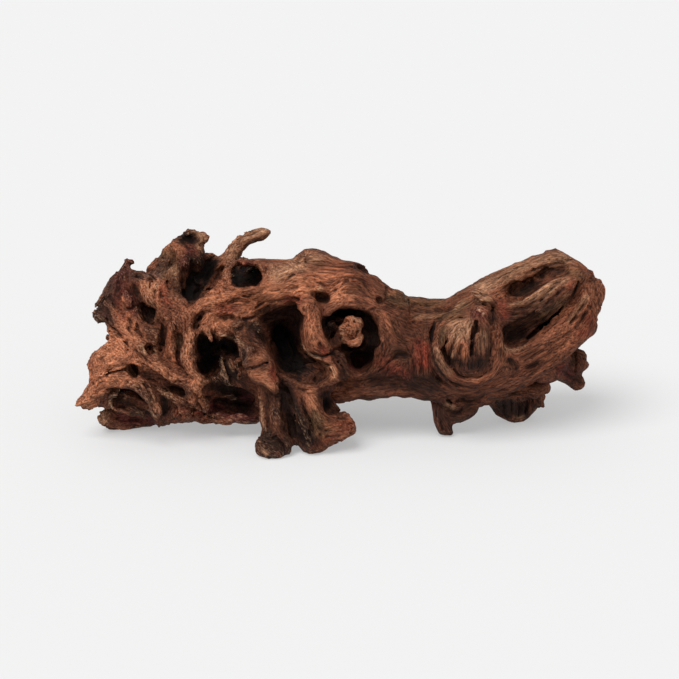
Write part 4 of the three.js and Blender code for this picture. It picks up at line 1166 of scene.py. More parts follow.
@dataclass
class RingHollow(Part):
    """The ring-shaped hollow with the rough stub that stands in it."""

    name: str = "ring hollow"
    depth: float = 9.0
    limbs: tuple[Limb, ...] = (
        grow((-4, 2, 16, 4), (-1.6, -1, 20, 4), blend=2),
    )
    spurs: tuple[Limb, ...] = (
        grow((6, 5, 10, 6), (6.4, 4.8, 23, 5.6), blend=2),
        grow((5.2, 11.6, 25, 2.4), (8, 12.4, 27.6, 2.2), blend=1),
        grow((10.6, 11, 26.4, 2.8), (12.2, 8.6, 27.2, 2.2), blend=1),
        grow((1.6, 6.4, 25, 2.4), (2, 3.4, 27, 2.2), blend=1),
        grow((8.6, 6.2, 28.6, 2.4), (7.2, 3.2, 29.6, 1.8), blend=0.8),
        grow((11.8, 1.6, 27.4, 2.4), (10.6, -1.4, 28.8, 2.4), (7, -2.6, 27.4, 2.2), blend=0.8),
        grow((3.4, -0.4, 25, 2.2), blend=1),
        grow((-4.6, 7, 14, 3), (-4.8, 9, 20, 2.2), blend=1.5),
        carve((4.6, 9, 29.6, 2.2), (6.4, 8, 29, 1.6), blend=0.4),
        carve((3.6, 1.8, 29.4, 0.9), (6.4, 0.6, 31.6, 0.9), (9.6, 1.8, 31.6, 0.8), blend=0.3),
        carve((4.6, 5.4, 29.4, 0.9), (5.6, 2.6, 31, 0.8), blend=0.3),
        carve((11, 5.4, 30.4, 1.1), (10.4, 3, 31, 0.8), blend=0.3),
        carve((9.2, 13.2, 29.4, 0.8), (9, 9.6, 31, 0.8), blend=0.3),
    )
    marks: tuple[Mark, ...] = (
        groove(3.6, depth, (-9.5, 8), (-7.5, 11), (-3.5, 14.2), (2, 16)),
        groove(3.2, depth, (2, 16), (8, 16), (13.5, 14.4)),
        groove(4.6, depth, (16.4, 11), (19.6, 5), (20.4, -1)),
        groove(5, depth, (19, -6), (16, -10), (12, -13)),
        groove(3.8, depth - 4, (9.6, -9), (9.6, -15), (11, -17)),
        groove(1.8, depth - 4, (-3.4, 9.6), (-3.4, 5), (-4.4, 2)),
        groove(1.6, 8, (2, -3.6), (6, -5.6), (11, -4.6), (14.4, -1)),
        groove(1.2, 2.6, (4.4, 8), (6.6, 6.4), (5.2, 4.2)),
        groove(0.9, 1.8, (1.8, 5), (4, 3), (8, 2.4)),
        groove(0.9, 1.6, (8.8, 8.4), (10.4, 5.6), (9.6, 3)),
        groove(0.8, 1.2, (12, 16.6), (16, 14.4), (19, 11)),
        ridge(1.2, 1, (23, 12), (26.4, 5), (27, -3), (25, -10)),
        ridge(1.4, 1, (26, 14), (29.5, 9), (31.5, 4), blend=2),
        groove(0.8, 1.2, (22, -10), (20, -15), (16, -19), (12, -21)),
        groove(0.8, 1, (24, -9), (22.4, -14), (19, -18)),
        groove(0.9, 1.2, (5.4, -14), (6, -18), (8, -21)),
        ridge(1, 0.9, (-7.6, 0.4), (-4, -3.6), (0, -6), (3, -9)),
    )
    # Painted shade and highlight: the darkest stains and linings fill the ring-shaped groove and a groove on
    # the stub; the small pale stain at (13.8, -6.4) is a painted glint.
    stains: tuple[Stain, ...] = (
        stain(Tone.DARK, 5, (-8, 9), (-3, 14), (5, 16), (13, 14), strength=0.95),
        stain(Tone.DARK, 6.5, (18, 9), (21, 1), (19, -7), (12, -14), strength=0.95),
        lining(Tone.GREY, 2.4, (-4.6, 9), (-5, 5), strength=0.8),
        lining(Tone.DARK, 4, (17, 12), (20, 3), (18, -6), strength=0.8),
        lining(Tone.WINE, 4, (12, -12), (9, -17), strength=0.7),
        stain(Tone.UMBER, 4, (-5, 4), (-2, 0)),
        lining(Tone.WARM, 4.4, (4, 10), (8, 9), (6, 4), (9, 0), strength=0.9),
        stain(Tone.PALE, 1.4, (8, 12.2), (11.6, 10.6), strength=0.7),
        stain(Tone.PALE, 1.3, (9, -2), (12, 0.6), strength=0.6),
        stain(Tone.DARK, 2.2, (4, 9.4), (6, 7.8), strength=0.9),
        stain(Tone.BROWN, 2.4, (3, 3), (4, 0), strength=0.8),
        stain(Tone.RED, 1.8, (6.6, 5), (7, 2.6)),
        # A painted glint on the stub.
        stain(Tone.PALE, 0.7, (13.8, -6.4), strength=1),
    )


@dataclass
class Trunk(Part):
    """The smooth waist of the root, with its red folds and long grain."""

    name: str = "trunk"
    limbs: tuple[Limb, ...] = (
        grow((35, 24, 15, 5), (37, 18, 20, 5), (38, 12, 22, 5), blend=4),
        grow((-1, -33, 10, 5), (12, -31, 12, 5), (26, -30.4, 12, 5), (40, -30, 12, 5), (54, -31, 10, 5),
             blend=4),
    )
    marks: tuple[Mark, ...] = (
        groove(0.8, 1, (27, 27), (36, 23.6), (46, 20.6), (56, 20.4)),
        groove(0.8, 1, (26, 22.4), (34, 20), (42, 17.4), (50, 16.4), (58, 16)),
        ridge(1.6, 1, (42, 13), (51, 13.4), (58, 13.6), (65, 15), (70, 19), (76, 24), blend=1.6),
        groove(1.9, 2.6, (57.4, 18.4), (62, 17.6), (67.4, 19)),
        ridge(1.2, 0.9, (56, 21.4), (62, 22), (68, 22.4)),
        groove(0.9, 1.2, (58, 12.6), (63, 13.4), (68, 16)),
        groove(0.8, 1, (31.5, 11), (34, 4), (37.6, 0), (42, -1.6)),
        groove(1, 1.4, (23.6, -19), (29.6, -13.6), (35, -9.6), (40.5, -9.4)),
        groove(2.4, 1.4, (33, -9), (38, -10), (41, -11), blend=2),
        ridge(1.6, 0.9, (46.6, -3), (47.6, -11), (46.4, -20), blend=1.6),
        ridge(1.5, 0.8, (51, -4), (52, -12), (50.4, -20), blend=1.6),
        groove(1, 1, (49.2, -3), (49.8, -12), (48.6, -21)),
        groove(1, 0.9, (44, -4), (44.8, -14), (44, -24)),
        groove(2.2, 1.6, (46, -24), (52, -26), (57, -27), blend=2),
    )
    # Painted shade: the two darkest stains lie in the grooves low on the trunk.
    stains: tuple[Stain, ...] = (
        stain(Tone.BROWN, 12, (34, 8), (46, 2), (40, -4), strength=0.9),
        stain(Tone.UMBER, 10, (24, -26), (38, -22), (50, -28), strength=0.9),
        stain(Tone.RED, 4, (47, -4), (48, -14), strength=0.8),
        stain(Tone.RED, 3, (52, -5), (52, -15), strength=0.8),
        stain(Tone.RED, 4, (26, -14), (34, -18), (40, -20), strength=0.5),
        stain(Tone.DARK, 4, (35, -9), (40, -11), strength=0.7),
        stain(Tone.DARK, 5, (48, -25), (56, -28), strength=0.8),
        stain(Tone.OLIVE, 6, (34, 24), (46, 21), (58, 22), strength=0.7),
        stain(Tone.TAN, 2, (45, 13.6), (56, 13.6), (66, 16), (74, 22), strength=0.5),
        stain(Tone.WARM, 3, (26, 15), (29, 9), strength=0.6),
    )
    guides: tuple[Line, ...] = (
        ((24, 24, 20), (38, 18, 26), (52, 16, 28), (70, 22, 24), (96, 34, 18), (128, 48, 6)),
        ((24, -4, 32), (38, -6, 34), (50, -8, 34)),
        ((20, -28, 22), (36, -28, 24), (52, -30, 20), (76, -34, 16), (104, -30, 14), (138, -8, 8)),
        ((24, 20, -26), (52, 10, -30), (88, 24, -34), (130, 36, -28)),
        ((20, -12, -30), (52, -20, -26), (90, -14, -36), (134, 4, -30)),
        ((30, -34, 0), (60, -36, 0), (100, -32, -6)),
    )


@dataclass
class Knot(Part):
    """The cone-shaped knot in its ring of bark, and the curly nub above it."""

    name: str = "knot"
    limbs: tuple[Limb, ...] = (
        grow((72, -12, 24, 7), (71, -2, 27, 6.5), (74, 6, 29, 5), (79, 12, 31, 3.4), blend=2.5),
        grow((86, -14, 25, 6.5), (87, -4, 28, 6), (86.5, 6, 31, 4.6), (84.5, 14, 33, 3.2), (84, 18, 33, 2),
             blend=2.5),
        grow((79, -17, 24, 7.5), (79, -12, 27, 6), blend=3),
    )
    marks: tuple[Mark, ...] = (
        groove(1, 2.4, (57.4, 11), (56, 6), (55.2, 0), (55.2, -6), (56.6, -12), (59.6, -18), (64.6, -23.6),
               (71, -27), (78, -28.4), (86, -27.6)),
        ridge(2.4, 1, (58.8, 6), (58, -1), (59, -8), (62, -14.6), (67, -20), (73, -23.6), (81, -25),
              (89, -22.4), (94.6, -17), (98.6, -10.6), blend=2),
        groove(1.8, 1.4, (61.8, 8), (60.8, 2), (61.2, -4), (63.2, -10), (66, -15), blend=1.6),
        groove(1.2, 2.4, (67, -17), (72, -21.4), (79, -23), (86, -21.6), (91, -17)),
        groove(0.9, 1.4, (62, 10), (66, 12.4), (71, 13.4), (77, 12.6)),
        groove(2.2, 8, (82, 10), (81, 4.6), (80, 0), blend=0.7),
        groove(1.3, 7, (80.2, 1), (79, -5), (78.6, -9.6)),
        ridge(1.5, 1.2, (72.4, 5), (69.8, -3), (67.6, -11), (66.4, -15), blend=1),
        groove(0.9, 1.2, (70.2, 3.4), (67.4, -5), (65.8, -12)),
        ridge(1.3, 1, (73.4, 0), (76.4, -5), (77, -8), blend=1),
        groove(0.9, 1, (73, -3), (72, -8)),
        ridge(1.3, 1.8, (81.6, -0.4), (84, 2.6), (87, 1.4), blend=0.8),
        ridge(1.4, 1.8, (87, 14), (91, 6), (93.6, -2), (95, -5), blend=0.9),
        groove(0.9, 2, (90.4, 5), (91, -2), (90.8, -9), (89.6, -14)),
        groove(0.7, 1, (78, 8), (78, 2)),
        ridge(0.9, 1, (78.6, 12), (80, 8), (79.4, 3)),
        ridge(0.9, 1, (81, -2), (81.4, 1.6), (84, 2.6)),
        groove(0.7, 1.2, (85, 10), (86.6, 5), (86, 1)),
        groove(0.8, 1.4, (90.4, 9), (91.4, 2), (91.4, -6), (89.6, -13)),
        groove(1.1, 2.4, (89.4, 13), (93, 6), (94, -2), (93.4, -10), (91.4, -16)),
        groove(0.8, 1.6, (94, 7), (96.2, 0), (95.4, -7)),
        ridge(1, 1, (92.4, 9), (94.8, 3), (95, -5)),
        ridge(1, 1.3, (81, 15), (82.6, 17.6)),
        ridge(0.9, 1.2, (84, 17), (86.4, 15.4)),
        ridge(0.9, 1.2, (86, 18.6), (88.6, 17)),
        groove(0.8, 1.4, (82.4, 15.8), (84, 14)),
        groove(0.8, 1.4, (85, 17.6), (87, 16.4)),
        ridge(1.3, 1.6, (80.6, 27.4), (83.4, 26.4), (83, 23.6), (81, 22.6)),
        ridge(1.4, 1.8, (83.6, 22.8), (88, 24.6), (92, 23.4)),
        groove(0.9, 1.6, (81.4, 25), (82.4, 24.4)),
        groove(1.2, 2, (86, 21.4), (90, 21), (92.6, 19)),
        groove(1.1, 1.8, (90.6, 20), (92.4, 14), (92.4, 10)),
        groove(0.7, 1, (70, -11), (72, -14), (71, -19)),
        groove(0.7, 1, (84, -12), (85, -16), (83, -19)),
        groove(0.8, 1.2, (56.4, -18.6), (60, -23.6), (66, -27.4)),
        groove(0.7, 1, (54.6, -16), (57.6, -22), (62, -26)),
    )
    # Painted shade: the darkest stain darkens the knot's lower part, the near-black stains lie in its slot
    # and in the grooves round it, and the last darkest stain in a groove at the upper right.
    stains: tuple[Stain, ...] = (
        stain(Tone.TAN, 5, (70, 8), (68, 2), (74, 4), (76, 8), strength=0.8),
        stain(Tone.WARM, 4, (66, -6), (74, -4), (76, -8), strength=0.7),
        stain(Tone.TAN, 3.4, (86, 4), (87, -4), strength=0.6),
        stain(Tone.BROWN, 3.4, (88, -8), (86, 8), strength=0.6),
        stain(Tone.DARK, 7, (70, -13), (78, -15), (87, -14), strength=0.95),
        stain(Tone.BLACK, 1.8, (83, 8), (80.6, 1), (79.8, -8), strength=0.95),
        stain(Tone.WINE, 4, (83, 16), (86, 15), strength=0.95),
        stain(Tone.PALE, 0.8, (83.6, 17.8), strength=0.8),
        stain(Tone.PALE, 0.8, (86.4, 15.4), strength=0.7),
        stain(Tone.TAN, 2, (58.6, -6), (61, -13), (66, -19), strength=0.5),
        stain(Tone.WARM, 2, (80, -25), (88, -23), (96, -15), strength=0.7),
        stain(Tone.BLACK, 1.1, (57, 10), (55.2, -2), (57, -13), (64, -23), (72, -27), strength=0.9),
        stain(Tone.OLIVE, 2.8, (62.4, 5), (62, -2), strength=0.9),
        stain(Tone.BLACK, 0.9, (69.8, 2), (67, -6), (65.8, -13), strength=0.9),
        stain(Tone.TAN, 1, (72, 4), (69.8, -4), (67.8, -10), strength=0.8),
        stain(Tone.TAN, 1, (82, 0.4), (84, 3), (87, 2), strength=0.8),
        stain(Tone.TAN, 1.8, (82, 26), (84, 23), (90, 24), strength=0.8),
        stain(Tone.DARK, 2.6, (92, 18), (92, 12), strength=0.8),
        stain(Tone.OLIVE, 4, (62, 12), (70, 16), (76, 20), strength=0.7),
    )
    guides: tuple[Line, ...] = (
        ((70, -14, 34), (71, -2, 36), (77, 10, 36), (84, 18, 34)),
        ((86, -16, 34), (88, -2, 36), (85, 14, 36)),
        ((56, 8, 30), (55, -6, 30), (60, -19, 28), (74, -28, 24), (90, -25, 26), (100, -10, 30)),
    )


@dataclass
class Flare(Part):
    """The flared right end: two flutes with a tongue of wood between them, and the torn edge."""

    name: str = "flare"
    slot_depth: float = 9.0
    limbs: tuple[Limb, ...] = (
        grow((103, 14, 22, 5), (112, 16, 25, 5), (121, 21, 27, 5), (130, 28, 27, 4.6), (137, 33.5, 26, 3.4),
             (140.4, 35, 25, 2), blend=2, deep=0.8),
        grow((106, 21, 26, 2.4), (114, 22.6, 28, 2.4), (121, 27, 29, 2.2), (130, 34, 28, 2),
             (138, 37, 26, 1.4), blend=1.4),
        grow((126, 50.6, 2, 3), (129, 51.4, 2, 2.8), (136, 47, 2, 4), (144, 41, 0, 5), blend=3),
        grow((151, 32, -4, 4), (153.6, 27, -4, 3.4), (154, 20, -4, 3.2), (153.6, 17.4, -4, 3), blend=2),
        grow((152, 8, 0, 3), (151, 5, 2, 3), (146, 2, 4, 3), blend=2),
        carve((103, 4.5, 27, 6.8), (106, 5.4, 27, 7.2), (111, 8, 26, 6), (117, 12, 27, 3.6), blend=3),
        grow((118, 10, 15, 5), (126, 15, 14, 5.4), (134, 21, 14, 5), (139, 26, 14, 4), blend=4),
        carve((66, 30.4, 0, 3), (73, 32.6, 0, 3.2), (87, 40.4, 0, 3.2), (102, 46.6, 0, 3.2),
              (111, 50, 0, 3.2), (121, 53, 0, 3), deep=14, blend=1),
        carve((131.6, 57, 0, 3), (138, 52.8, 0, 3), (147.4, 47.4, 0, 3), (153, 42, 0, 3), deep=14,
              blend=0.8),
        grow((149.4, 38.6, -3, 3), (152, 35, -3, 3), blend=1.5),
        carve((156.6, 38.4, 6, 3), (158.8, 33.4, 6, 3), (160.2, 28.6, 6, 2.8), (160.4, 24, 6, 2.8), deep=14,
              blend=0.8),
        grow((153.6, 19, -2, 3.4), (153, 14, -1, 3), blend=2),
        carve((157, 14, 0, 2.2), (160, 12, 0, 3), deep=8, blend=0.8),
        carve((152, -2.5, 4, 2.6), (147, -6, 4, 3), deep=6, blend=0.8),
    )
    marks: tuple[Mark, ...] = (
        groove(5, 5, (107, 29.2), (111, 29.8), (114, 31)),
        groove(3.6, 3.4, (112, 33.5), (118, 36), (124, 38.6)),
        groove(3.4, 2.6, (122, 38.6), (129, 41), (136, 42)),
        groove(1.1, 2.4, (103, 37.4), (110, 39.4), (116, 41.4), (124, 44), (132, 45.8), (137, 45.8)),
        groove(0.8, 1.2, (104, 35.4), (108, 36.6), (113, 38), (120, 41), (128, 42.6)),
        ridge(0.9, 1.4, (111.6, 32.6), (113.6, 35.6), (117, 38)),
        groove(0.8, 1.4, (110, 34.4), (112.6, 37)),
        groove(0.7, 1, (124, 34), (130, 38), (137, 40)),
        groove(0.7, 1, (120, 32), (127, 36.4), (133, 38.4)),
        ridge(1.2, 1.2, (103, 21.4), (108.6, 23.4), (114.4, 24.6), (120, 28.6), (126, 33), (132, 36.4)),
        groove(0.8, 1.2, (104, 18), (110, 18.6), (117, 20), (122, 24), (127, 29.6)),
        groove(0.8, 1.2, (104, 15), (112, 16), (119, 19)),
        ridge(1.1, 1.2, (113, 18), (120, 21.6), (126, 27), (131, 32), (137, 36.6)),
        ridge(1, 1.2, (132.4, 22.4), (136.4, 26.6), (140.6, 30.6)),
        ridge(0.9, 1, (134.4, 21.4), (138.6, 25.6), (141.4, 29.4)),
        groove(0.8, 1.6, (133, 21.6), (137.4, 26), (141, 30)),
        groove(0.8, 1.4, (129, 24), (133, 28.6), (137, 33)),
        groove(0.7, 1.2, (124, 21), (129, 26), (134, 31.6)),
        groove(1, slot_depth, (143, 35), (142, 30), (138.4, 24.4), (133, 18.6), (127.4, 13), (121.6, 8)),
        groove(1.4, slot_depth - 4, (124, 10), (118, 5), (113, 1)),
        groove(2.4, 2, (108, 4), (114, 7), (121, 11), (128, 17), blend=2),
        ridge(1.5, 1.4, (97, -2), (100, -5.4), (105, -6.8), (110, -5.4), (115, -1.6), (121, 2.4)),
        ridge(1.3, 1.6, (137, 10), (142, 16.6), (148.4, 26)),
        ridge(1.2, 1.5, (140.4, 8.6), (145, 15), (149.4, 22.6)),
        groove(0.9, 2.2, (138.8, 9.4), (143.6, 16), (148.6, 23.6)),
        groove(0.9, 1.8, (134, 9.6), (139, 16.4), (144.6, 23)),
        groove(0.9, 1.8, (142, 7), (147, 14), (150, 19)),
        groove(0.9, 1.4, (131, 14), (136, 20), (142, 27)),
        groove(1.2, 2.2, (149.6, 20), (152, 16.6), (154, 13)),
        groove(1, 1.6, (151, 37), (150.4, 30), (152, 24), (155, 18)),
        groove(0.8, 1.2, (147, 37), (146.6, 31), (148, 26)),
        groove(0.8, 1.2, (153.6, 33), (154.6, 26)),
        groove(0.8, 1, (88, 29), (95, 33.4), (104, 38.6)),
        groove(0.8, 1, (92, 35.4), (101, 40), (112, 44.4), (123, 48.4)),
        groove(0.8, 1, (90, 31.6), (99, 36.6), (109, 41.4), (119, 45)),
        groove(0.8, 1, (118, 44), (127, 48), (135, 48.4)),
        groove(0.9, 1.2, (93, 26), (98, 30), (103, 34.6)),
        ridge(1.2, 0.9, (95, 31), (100, 34.6), (103, 36.6)),
        groove(0.8, 1.1, (122, 3), (127, 7), (131, 11)),
        groove(0.8, 1, (99, -24), (106, -22), (112, -18), (119, -14), (127, -8), (137, -1)),
        groove(0.8, 1.2, (103, -28), (110, -25), (117, -20), (125, -14.6), (134, -8)),
        groove(0.8, 1.2, (106, -30.4), (114, -26), (121, -21), (129, -15), (138, -8)),
        groove(0.8, 1, (112, -13), (120, -8), (130, -1), (140, 5)),
        groove(1.4, 1.6, (101, -11), (104, -14), (106, -18), blend=1.6),
        groove(1.6, 1.8, (113, -17), (117, -15.6), (121, -14), blend=1.6),
        ridge(1.2, 1, (91, -33.4), (98, -32), (105, -30.4), (112, -29)),
        groove(1.1, 2, (91, -35), (98, -33.6), (105, -32), (111, -31)),
    )
    # Painted light and shade: the TAN stains along the tongue's top edges are its lit face painted lighter,
    # and the UMBER stain along its lower face is painted shade; the darkest, UMBER and OLIVE linings and the
    # near-black stain fill the flutes and the slot, and the darkest and UMBER stains low down lie in
    # grooves.
    stains: tuple[Stain, ...] = (
        stain(Tone.WARM, 14, (96, 34), (116, 40), (136, 40), (148, 30), strength=0.5),
        stain(Tone.WARM, 12, (112, -6), (130, 2), (144, 10), strength=0.5),
        stain(Tone.TAN, 6, (84, 30), (104, 41), (120, 48), (134, 49), strength=0.85),
        lining(Tone.DARK, 5, (106, 28.6), (112, 30), (117, 32), strength=0.95),
        lining(Tone.UMBER, 3.6, (118, 36), (126, 40), (134, 42), strength=0.85),
        stain(Tone.OLIVE, 4, (138, 42), (145, 38), strength=0.7),
        stain(Tone.TAN, 1.8, (104, 21.4), (114, 24), (124, 31), (132, 36), strength=0.8),
        stain(Tone.TAN, 1.6, (114, 18.6), (121, 23), (128, 30), (136, 36), strength=0.8),
        stain(Tone.BROWN, 3, (108, 18), (117, 21), strength=0.7),
        stain(Tone.UMBER, 3.2, (124, 20), (130, 25), (134, 30), strength=0.8),
        stain(Tone.RED, 2.6, (134, 25), (139, 31), strength=0.8),
        stain(Tone.BLACK, 1.3, (143, 33), (138, 24), (130, 16), (122, 8), strength=1),
        stain(Tone.UMBER, 4.4, (101, 12), (109, 13), (117, 16), (124, 21), strength=0.85),
        lining(Tone.DARK, 7, (104, 3), (108, 4), strength=0.9),
        lining(Tone.UMBER, 4, (115, 9), (122, 13), strength=0.8),
        lining(Tone.OLIVE, 3.4, (122, 15), (130, 20), (137, 27), strength=0.7),
        stain(Tone.TAN, 1.6, (98, -4), (104, -7), (111, -5), strength=0.8),
        stain(Tone.TAN, 2, (138, 11), (143, 18), (148, 25), strength=0.8),
        stain(Tone.WARM, 3, (134, 12), (140, 20), strength=0.6),
        stain(Tone.RED, 4, (150, 12), (151, 6), (146, 4), strength=0.7),
        stain(Tone.BROWN, 5, (152, 34), (154, 24), strength=0.7),
        stain(Tone.BROWN, 7, (116, -8), (126, -4), strength=0.6),
        stain(Tone.WARM, 4, (104, -26), (114, -24), (126, -14), (138, -5), strength=0.6),
        stain(Tone.DARK, 3, (102, -13), (105, -17), strength=0.7),
        stain(Tone.UMBER, 3, (115, -17), (120, -15), strength=0.8),
        stain(Tone.RED, 3, (97, 22), (99, 14), strength=0.6),
    )
    guides: tuple[Line, ...] = (
        ((92, 34, 22), (108, 42, 16), (128, 50, 6)),
        ((104, 18, 30), (118, 22, 30), (130, 32, 28), (140, 36, 26)),
        ((112, -6, 30), (128, 4, 26), (150, 18, 12)),
        ((110, -24, 18), (126, -14, 18), (144, 0, 10)),
    )


@dataclass
class RightFeet(Part):
    """The fins and stubs that the right half stands on."""

    name: str = "right feet"
    limbs: tuple[Limb, ...] = (
        grow((60, -38, 4, 5), (60, -46, 3, 4), (60.5, -51, 2, 3.6), (64, -54.5, 1, 3.2), (66.4, -56, 0, 2.2),
             blend=2, deep=0.9),
        grow((72, -44, 2, 5), (78, -42, 2, 4), blend=3),
        carve((73, -56, 2, 3.6), (70.6, -53.4, 2, 1.6), deep=5, blend=0.8),
        carve((53.4, -44, 4, 2), (53.6, -50, 3, 2), (55.6, -57, 2, 2), deep=5, blend=0.8),
        grow((118, -37, -20, 4), (120.6, -39.2, -21, 2.4), (120, -33, -18, 2.6), blend=1.2),
        carve((126, -28.6, -10, 2.2), (125.4, -31.6, -10, 2.4), deep=14, blend=0.8),
        grow((121.2, -34.6, -18, 2), blend=1),
        grow((144, -9.5, -20, 4), (146.4, -12, -21, 2.6), (146, -16, -22, 2.4), blend=1.5),
        carve((149, -22, -22, 2.8), (146.5, -20.8, -22, 1.2), deep=4, blend=0.8),
        grow((122, -19, -4, 7), (131, -17, -10, 7), (138, -22, -18, 4.6), (143, -26, -21, 3), blend=2),
        grow((84, -38, -6, 3.4), (89, -35.6, -8, 3.6), (118, -30, -12, 5), (122.6, -27, -14, 3), blend=2),
    )
    marks: tuple[Mark, ...] = (
        groove(1.6, 3, (65, -36.6), (67, -38.4)),
        ridge(0.9, 1.2, (63.6, -38.4), (66, -40.4), (69, -40)),
        groove(0.9, 1.8, (62, -31.6), (64.6, -33.6), (68, -33)),
        groove(0.8, 1.4, (69, -35), (72, -37), (74, -36)),
        groove(0.8, 1.2, (66, -43), (70, -44), (74, -42)),
        groove(0.8, 1, (60, -40), (60, -48), (62, -54)),
        groove(1, 1.6, (98, -35.6), (98.6, -41), (99.6, -46)),
        groove(1, 1.6, (102.6, -34.6), (103, -40), (103.6, -46)),
        groove(0.9, 1.4, (107, -34.6), (107.6, -41), (107.6, -46)),
        groove(0.9, 1.2, (112, -33), (112.4, -39), (111.6, -44)),
        groove(0.8, 1, (94, -37), (94.6, -42)),
        ridge(0.9, 0.9, (92, -43), (98, -46.6), (104, -48.6), (110, -48)),
        groove(0.8, 1.2, (141, -9), (142.4, -14), (141, -19)),
        groove(0.8, 1.2, (145, -9), (146.4, -13), (145, -17)),
        ridge(0.8, 0.9, (140.6, -7.6), (144, -7.6), (147, -9.4)),
        groove(1, 1.2, (134, -20), (139, -23), (144, -26)),
        groove(0.8, 1, (130, -20), (134, -24), (138, -27)),
    )
    # Painted shade: the near-black stain lies in the groove at the left foot and the darkest stain in the
    # recess between the grooves of the middle feet.
    stains: tuple[Stain, ...] = (
        stain(Tone.UMBER, 8, (62, -40), (66, -50), (76, -42), strength=0.9),
        stain(Tone.BLACK, 2, (65, -37), (67, -38), strength=0.8),
        stain(Tone.TAN, 1.4, (64, -39), (68, -40.4), strength=0.6),
        stain(Tone.DARK, 9, (100, -40), (108, -42), strength=0.95),
        stain(Tone.BROWN, 4, (117, -35), (120, -30), strength=0.7),
        stain(Tone.TAN, 1.6, (105, -47), (110, -47), strength=0.6),
        stain(Tone.UMBER, 7, (140, -14), (142, -22), strength=0.8),
        stain(Tone.OLIVE, 2, (142, -9), (146, -9), strength=0.5),
        stain(Tone.WINE, 4, (133, -18), (137, -21), strength=0.8),
    )
    guides: tuple[Line, ...] = (
        ((62, -34, 8), (61, -46, 4), (65, -56, 2)),
        ((100, -34, -10), (104, -46, -16)),
        ((132, -14, -14), (146, -26, -20)),
    )


@dataclass
class HiddenSides(Part):
    """The back, the ends and the underside, which the photograph doesn't show."""

    name: str = "hidden sides"
    marks: tuple[Mark, ...] = (
        groove(4, 9, (64, 30), (58, 27), (52, 28), side=BACK),
        groove(2.6, 6, (-20, 10), (-26, 6), side=BACK),
        groove(3, 8, (98, 6), (92, 0), side=BACK),
        groove(3.2, 7, (30, -6), (22, -10), side=BACK),
        groove(1, 1.8, (120, 24), (100, 20), (84, 22), (68, 16), side=BACK),
        groove(1, 1.8, (112, 10), (96, 12), (80, 8), side=BACK),
        groove(1, 1.6, (76, -2), (58, -8), (40, -10), (24, -18), side=BACK),
        groove(1, 1.6, (46, 22), (30, 20), (12, 24), (-8, 18), side=BACK),
        groove(1, 1.5, (20, 6), (0, 2), (-22, -4), (-44, 0), side=BACK),
        groove(1, 1.5, (-10, 22), (-34, 18), (-60, 24), (-90, 30), side=BACK),
        groove(1, 1.5, (-40, -10), (-64, -14), (-90, -8), (-116, 2), side=BACK),
        groove(1, 1.5, (-70, 14), (-96, 20), (-124, 30), side=BACK),
        ridge(2.2, 1.6, (112, 30), (92, 30), (76, 36), side=BACK, blend=2),
        ridge(2, 1.6, (60, 8), (40, 4), (20, 10), side=BACK, blend=2),
        ridge(2, 1.4, (-14, -12), (-40, -18), (-64, -22), side=BACK, blend=2),
        ridge(2, 1.4, (-80, 26), (-104, 34), (-124, 40), side=BACK, blend=2),
        groove(2.6, 4, (70, -26), (56, -30), side=BACK),
        groove(2, 4, (-84, -2), (-92, -4), side=BACK),
        groove(1, 1.6, (-120, 6), (-60, 10), (0, 6), side=Side.TOP),
        groove(1, 1.6, (-100, -6), (-50, -2), (20, -4), (60, 0), side=Side.TOP),
        groove(1, 1.4, (40, 8), (80, 6), (120, 4), side=Side.TOP),
        groove(1.2, 1.8, (-110, 4), (-60, 0), (-10, 4), side=Side.UNDER),
        groove(1.2, 1.8, (20, 6), (70, 2), (120, 8), side=Side.UNDER),
        groove(2.6, 4, (-16, -10), (-8, -14), side=Side.UNDER),
        groove(1, 1.6, (-20, 20), (0, 26), (18, 20), side=Side.RIGHT),
        groove(1, 1.6, (-24, 8), (-4, 14), (14, 8), side=Side.RIGHT),
        groove(1.6, 2.6, (-14, 0), (4, -2), side=Side.RIGHT),
        groove(1.2, 2, (-10, 26), (6, 18), (14, 4), side=Side.LEFT),
        groove(1.2, 2, (-20, -14), (0, -18), (16, -14), side=Side.LEFT),
    )
    # Painted shade: the near-black stains lie in the deep grooves at the back.
    stains: tuple[Stain, ...] = (
        stain(Tone.WARM, 16, (110, 20), (80, 24), (50, 20), side=BACK, strength=0.6),
        stain(Tone.BROWN, 16, (20, 10), (-20, 0), (-60, -4), side=BACK, strength=0.7),
        stain(Tone.OLIVE, 12, (-80, 20), (-110, 28), side=BACK, strength=0.6),
        stain(Tone.UMBER, 16, (60, -30), (0, -30), (-60, -30), side=BACK, strength=0.6),
        stain(Tone.BLACK, 5, (60, 29), (53, 28), side=BACK, strength=0.9),
        stain(Tone.BLACK, 4, (96, 5), (93, 1), side=BACK, strength=0.9),
        stain(Tone.RED, 8, (6, 16), (-14, 12), side=BACK, strength=0.4),
    )


class Lie(Enum):
    """The ways that fibres can lie: the turn about Y and then about Z, in degrees, of a line along X."""

    ALONG = (0, 0)
    RISING = (-30, 0)
    CLIMBING = (-60, 0)
    UPRIGHT = (-90, 0)
    DIVING = (-120, 0)
    FALLING = (-150, 0)
    INWARD = (0, 90)
    SLANTING = (0, 45)
    CROSSING = (0, 135)

    def way(self) -> Array:
        """Returns the fibres' direction."""
        tilt, turn = (math.radians(v) for v in self.value)
        level = math.cos(tilt)
        return np.array([level * math.cos(turn), level * math.sin(turn), -math.sin(tilt)])


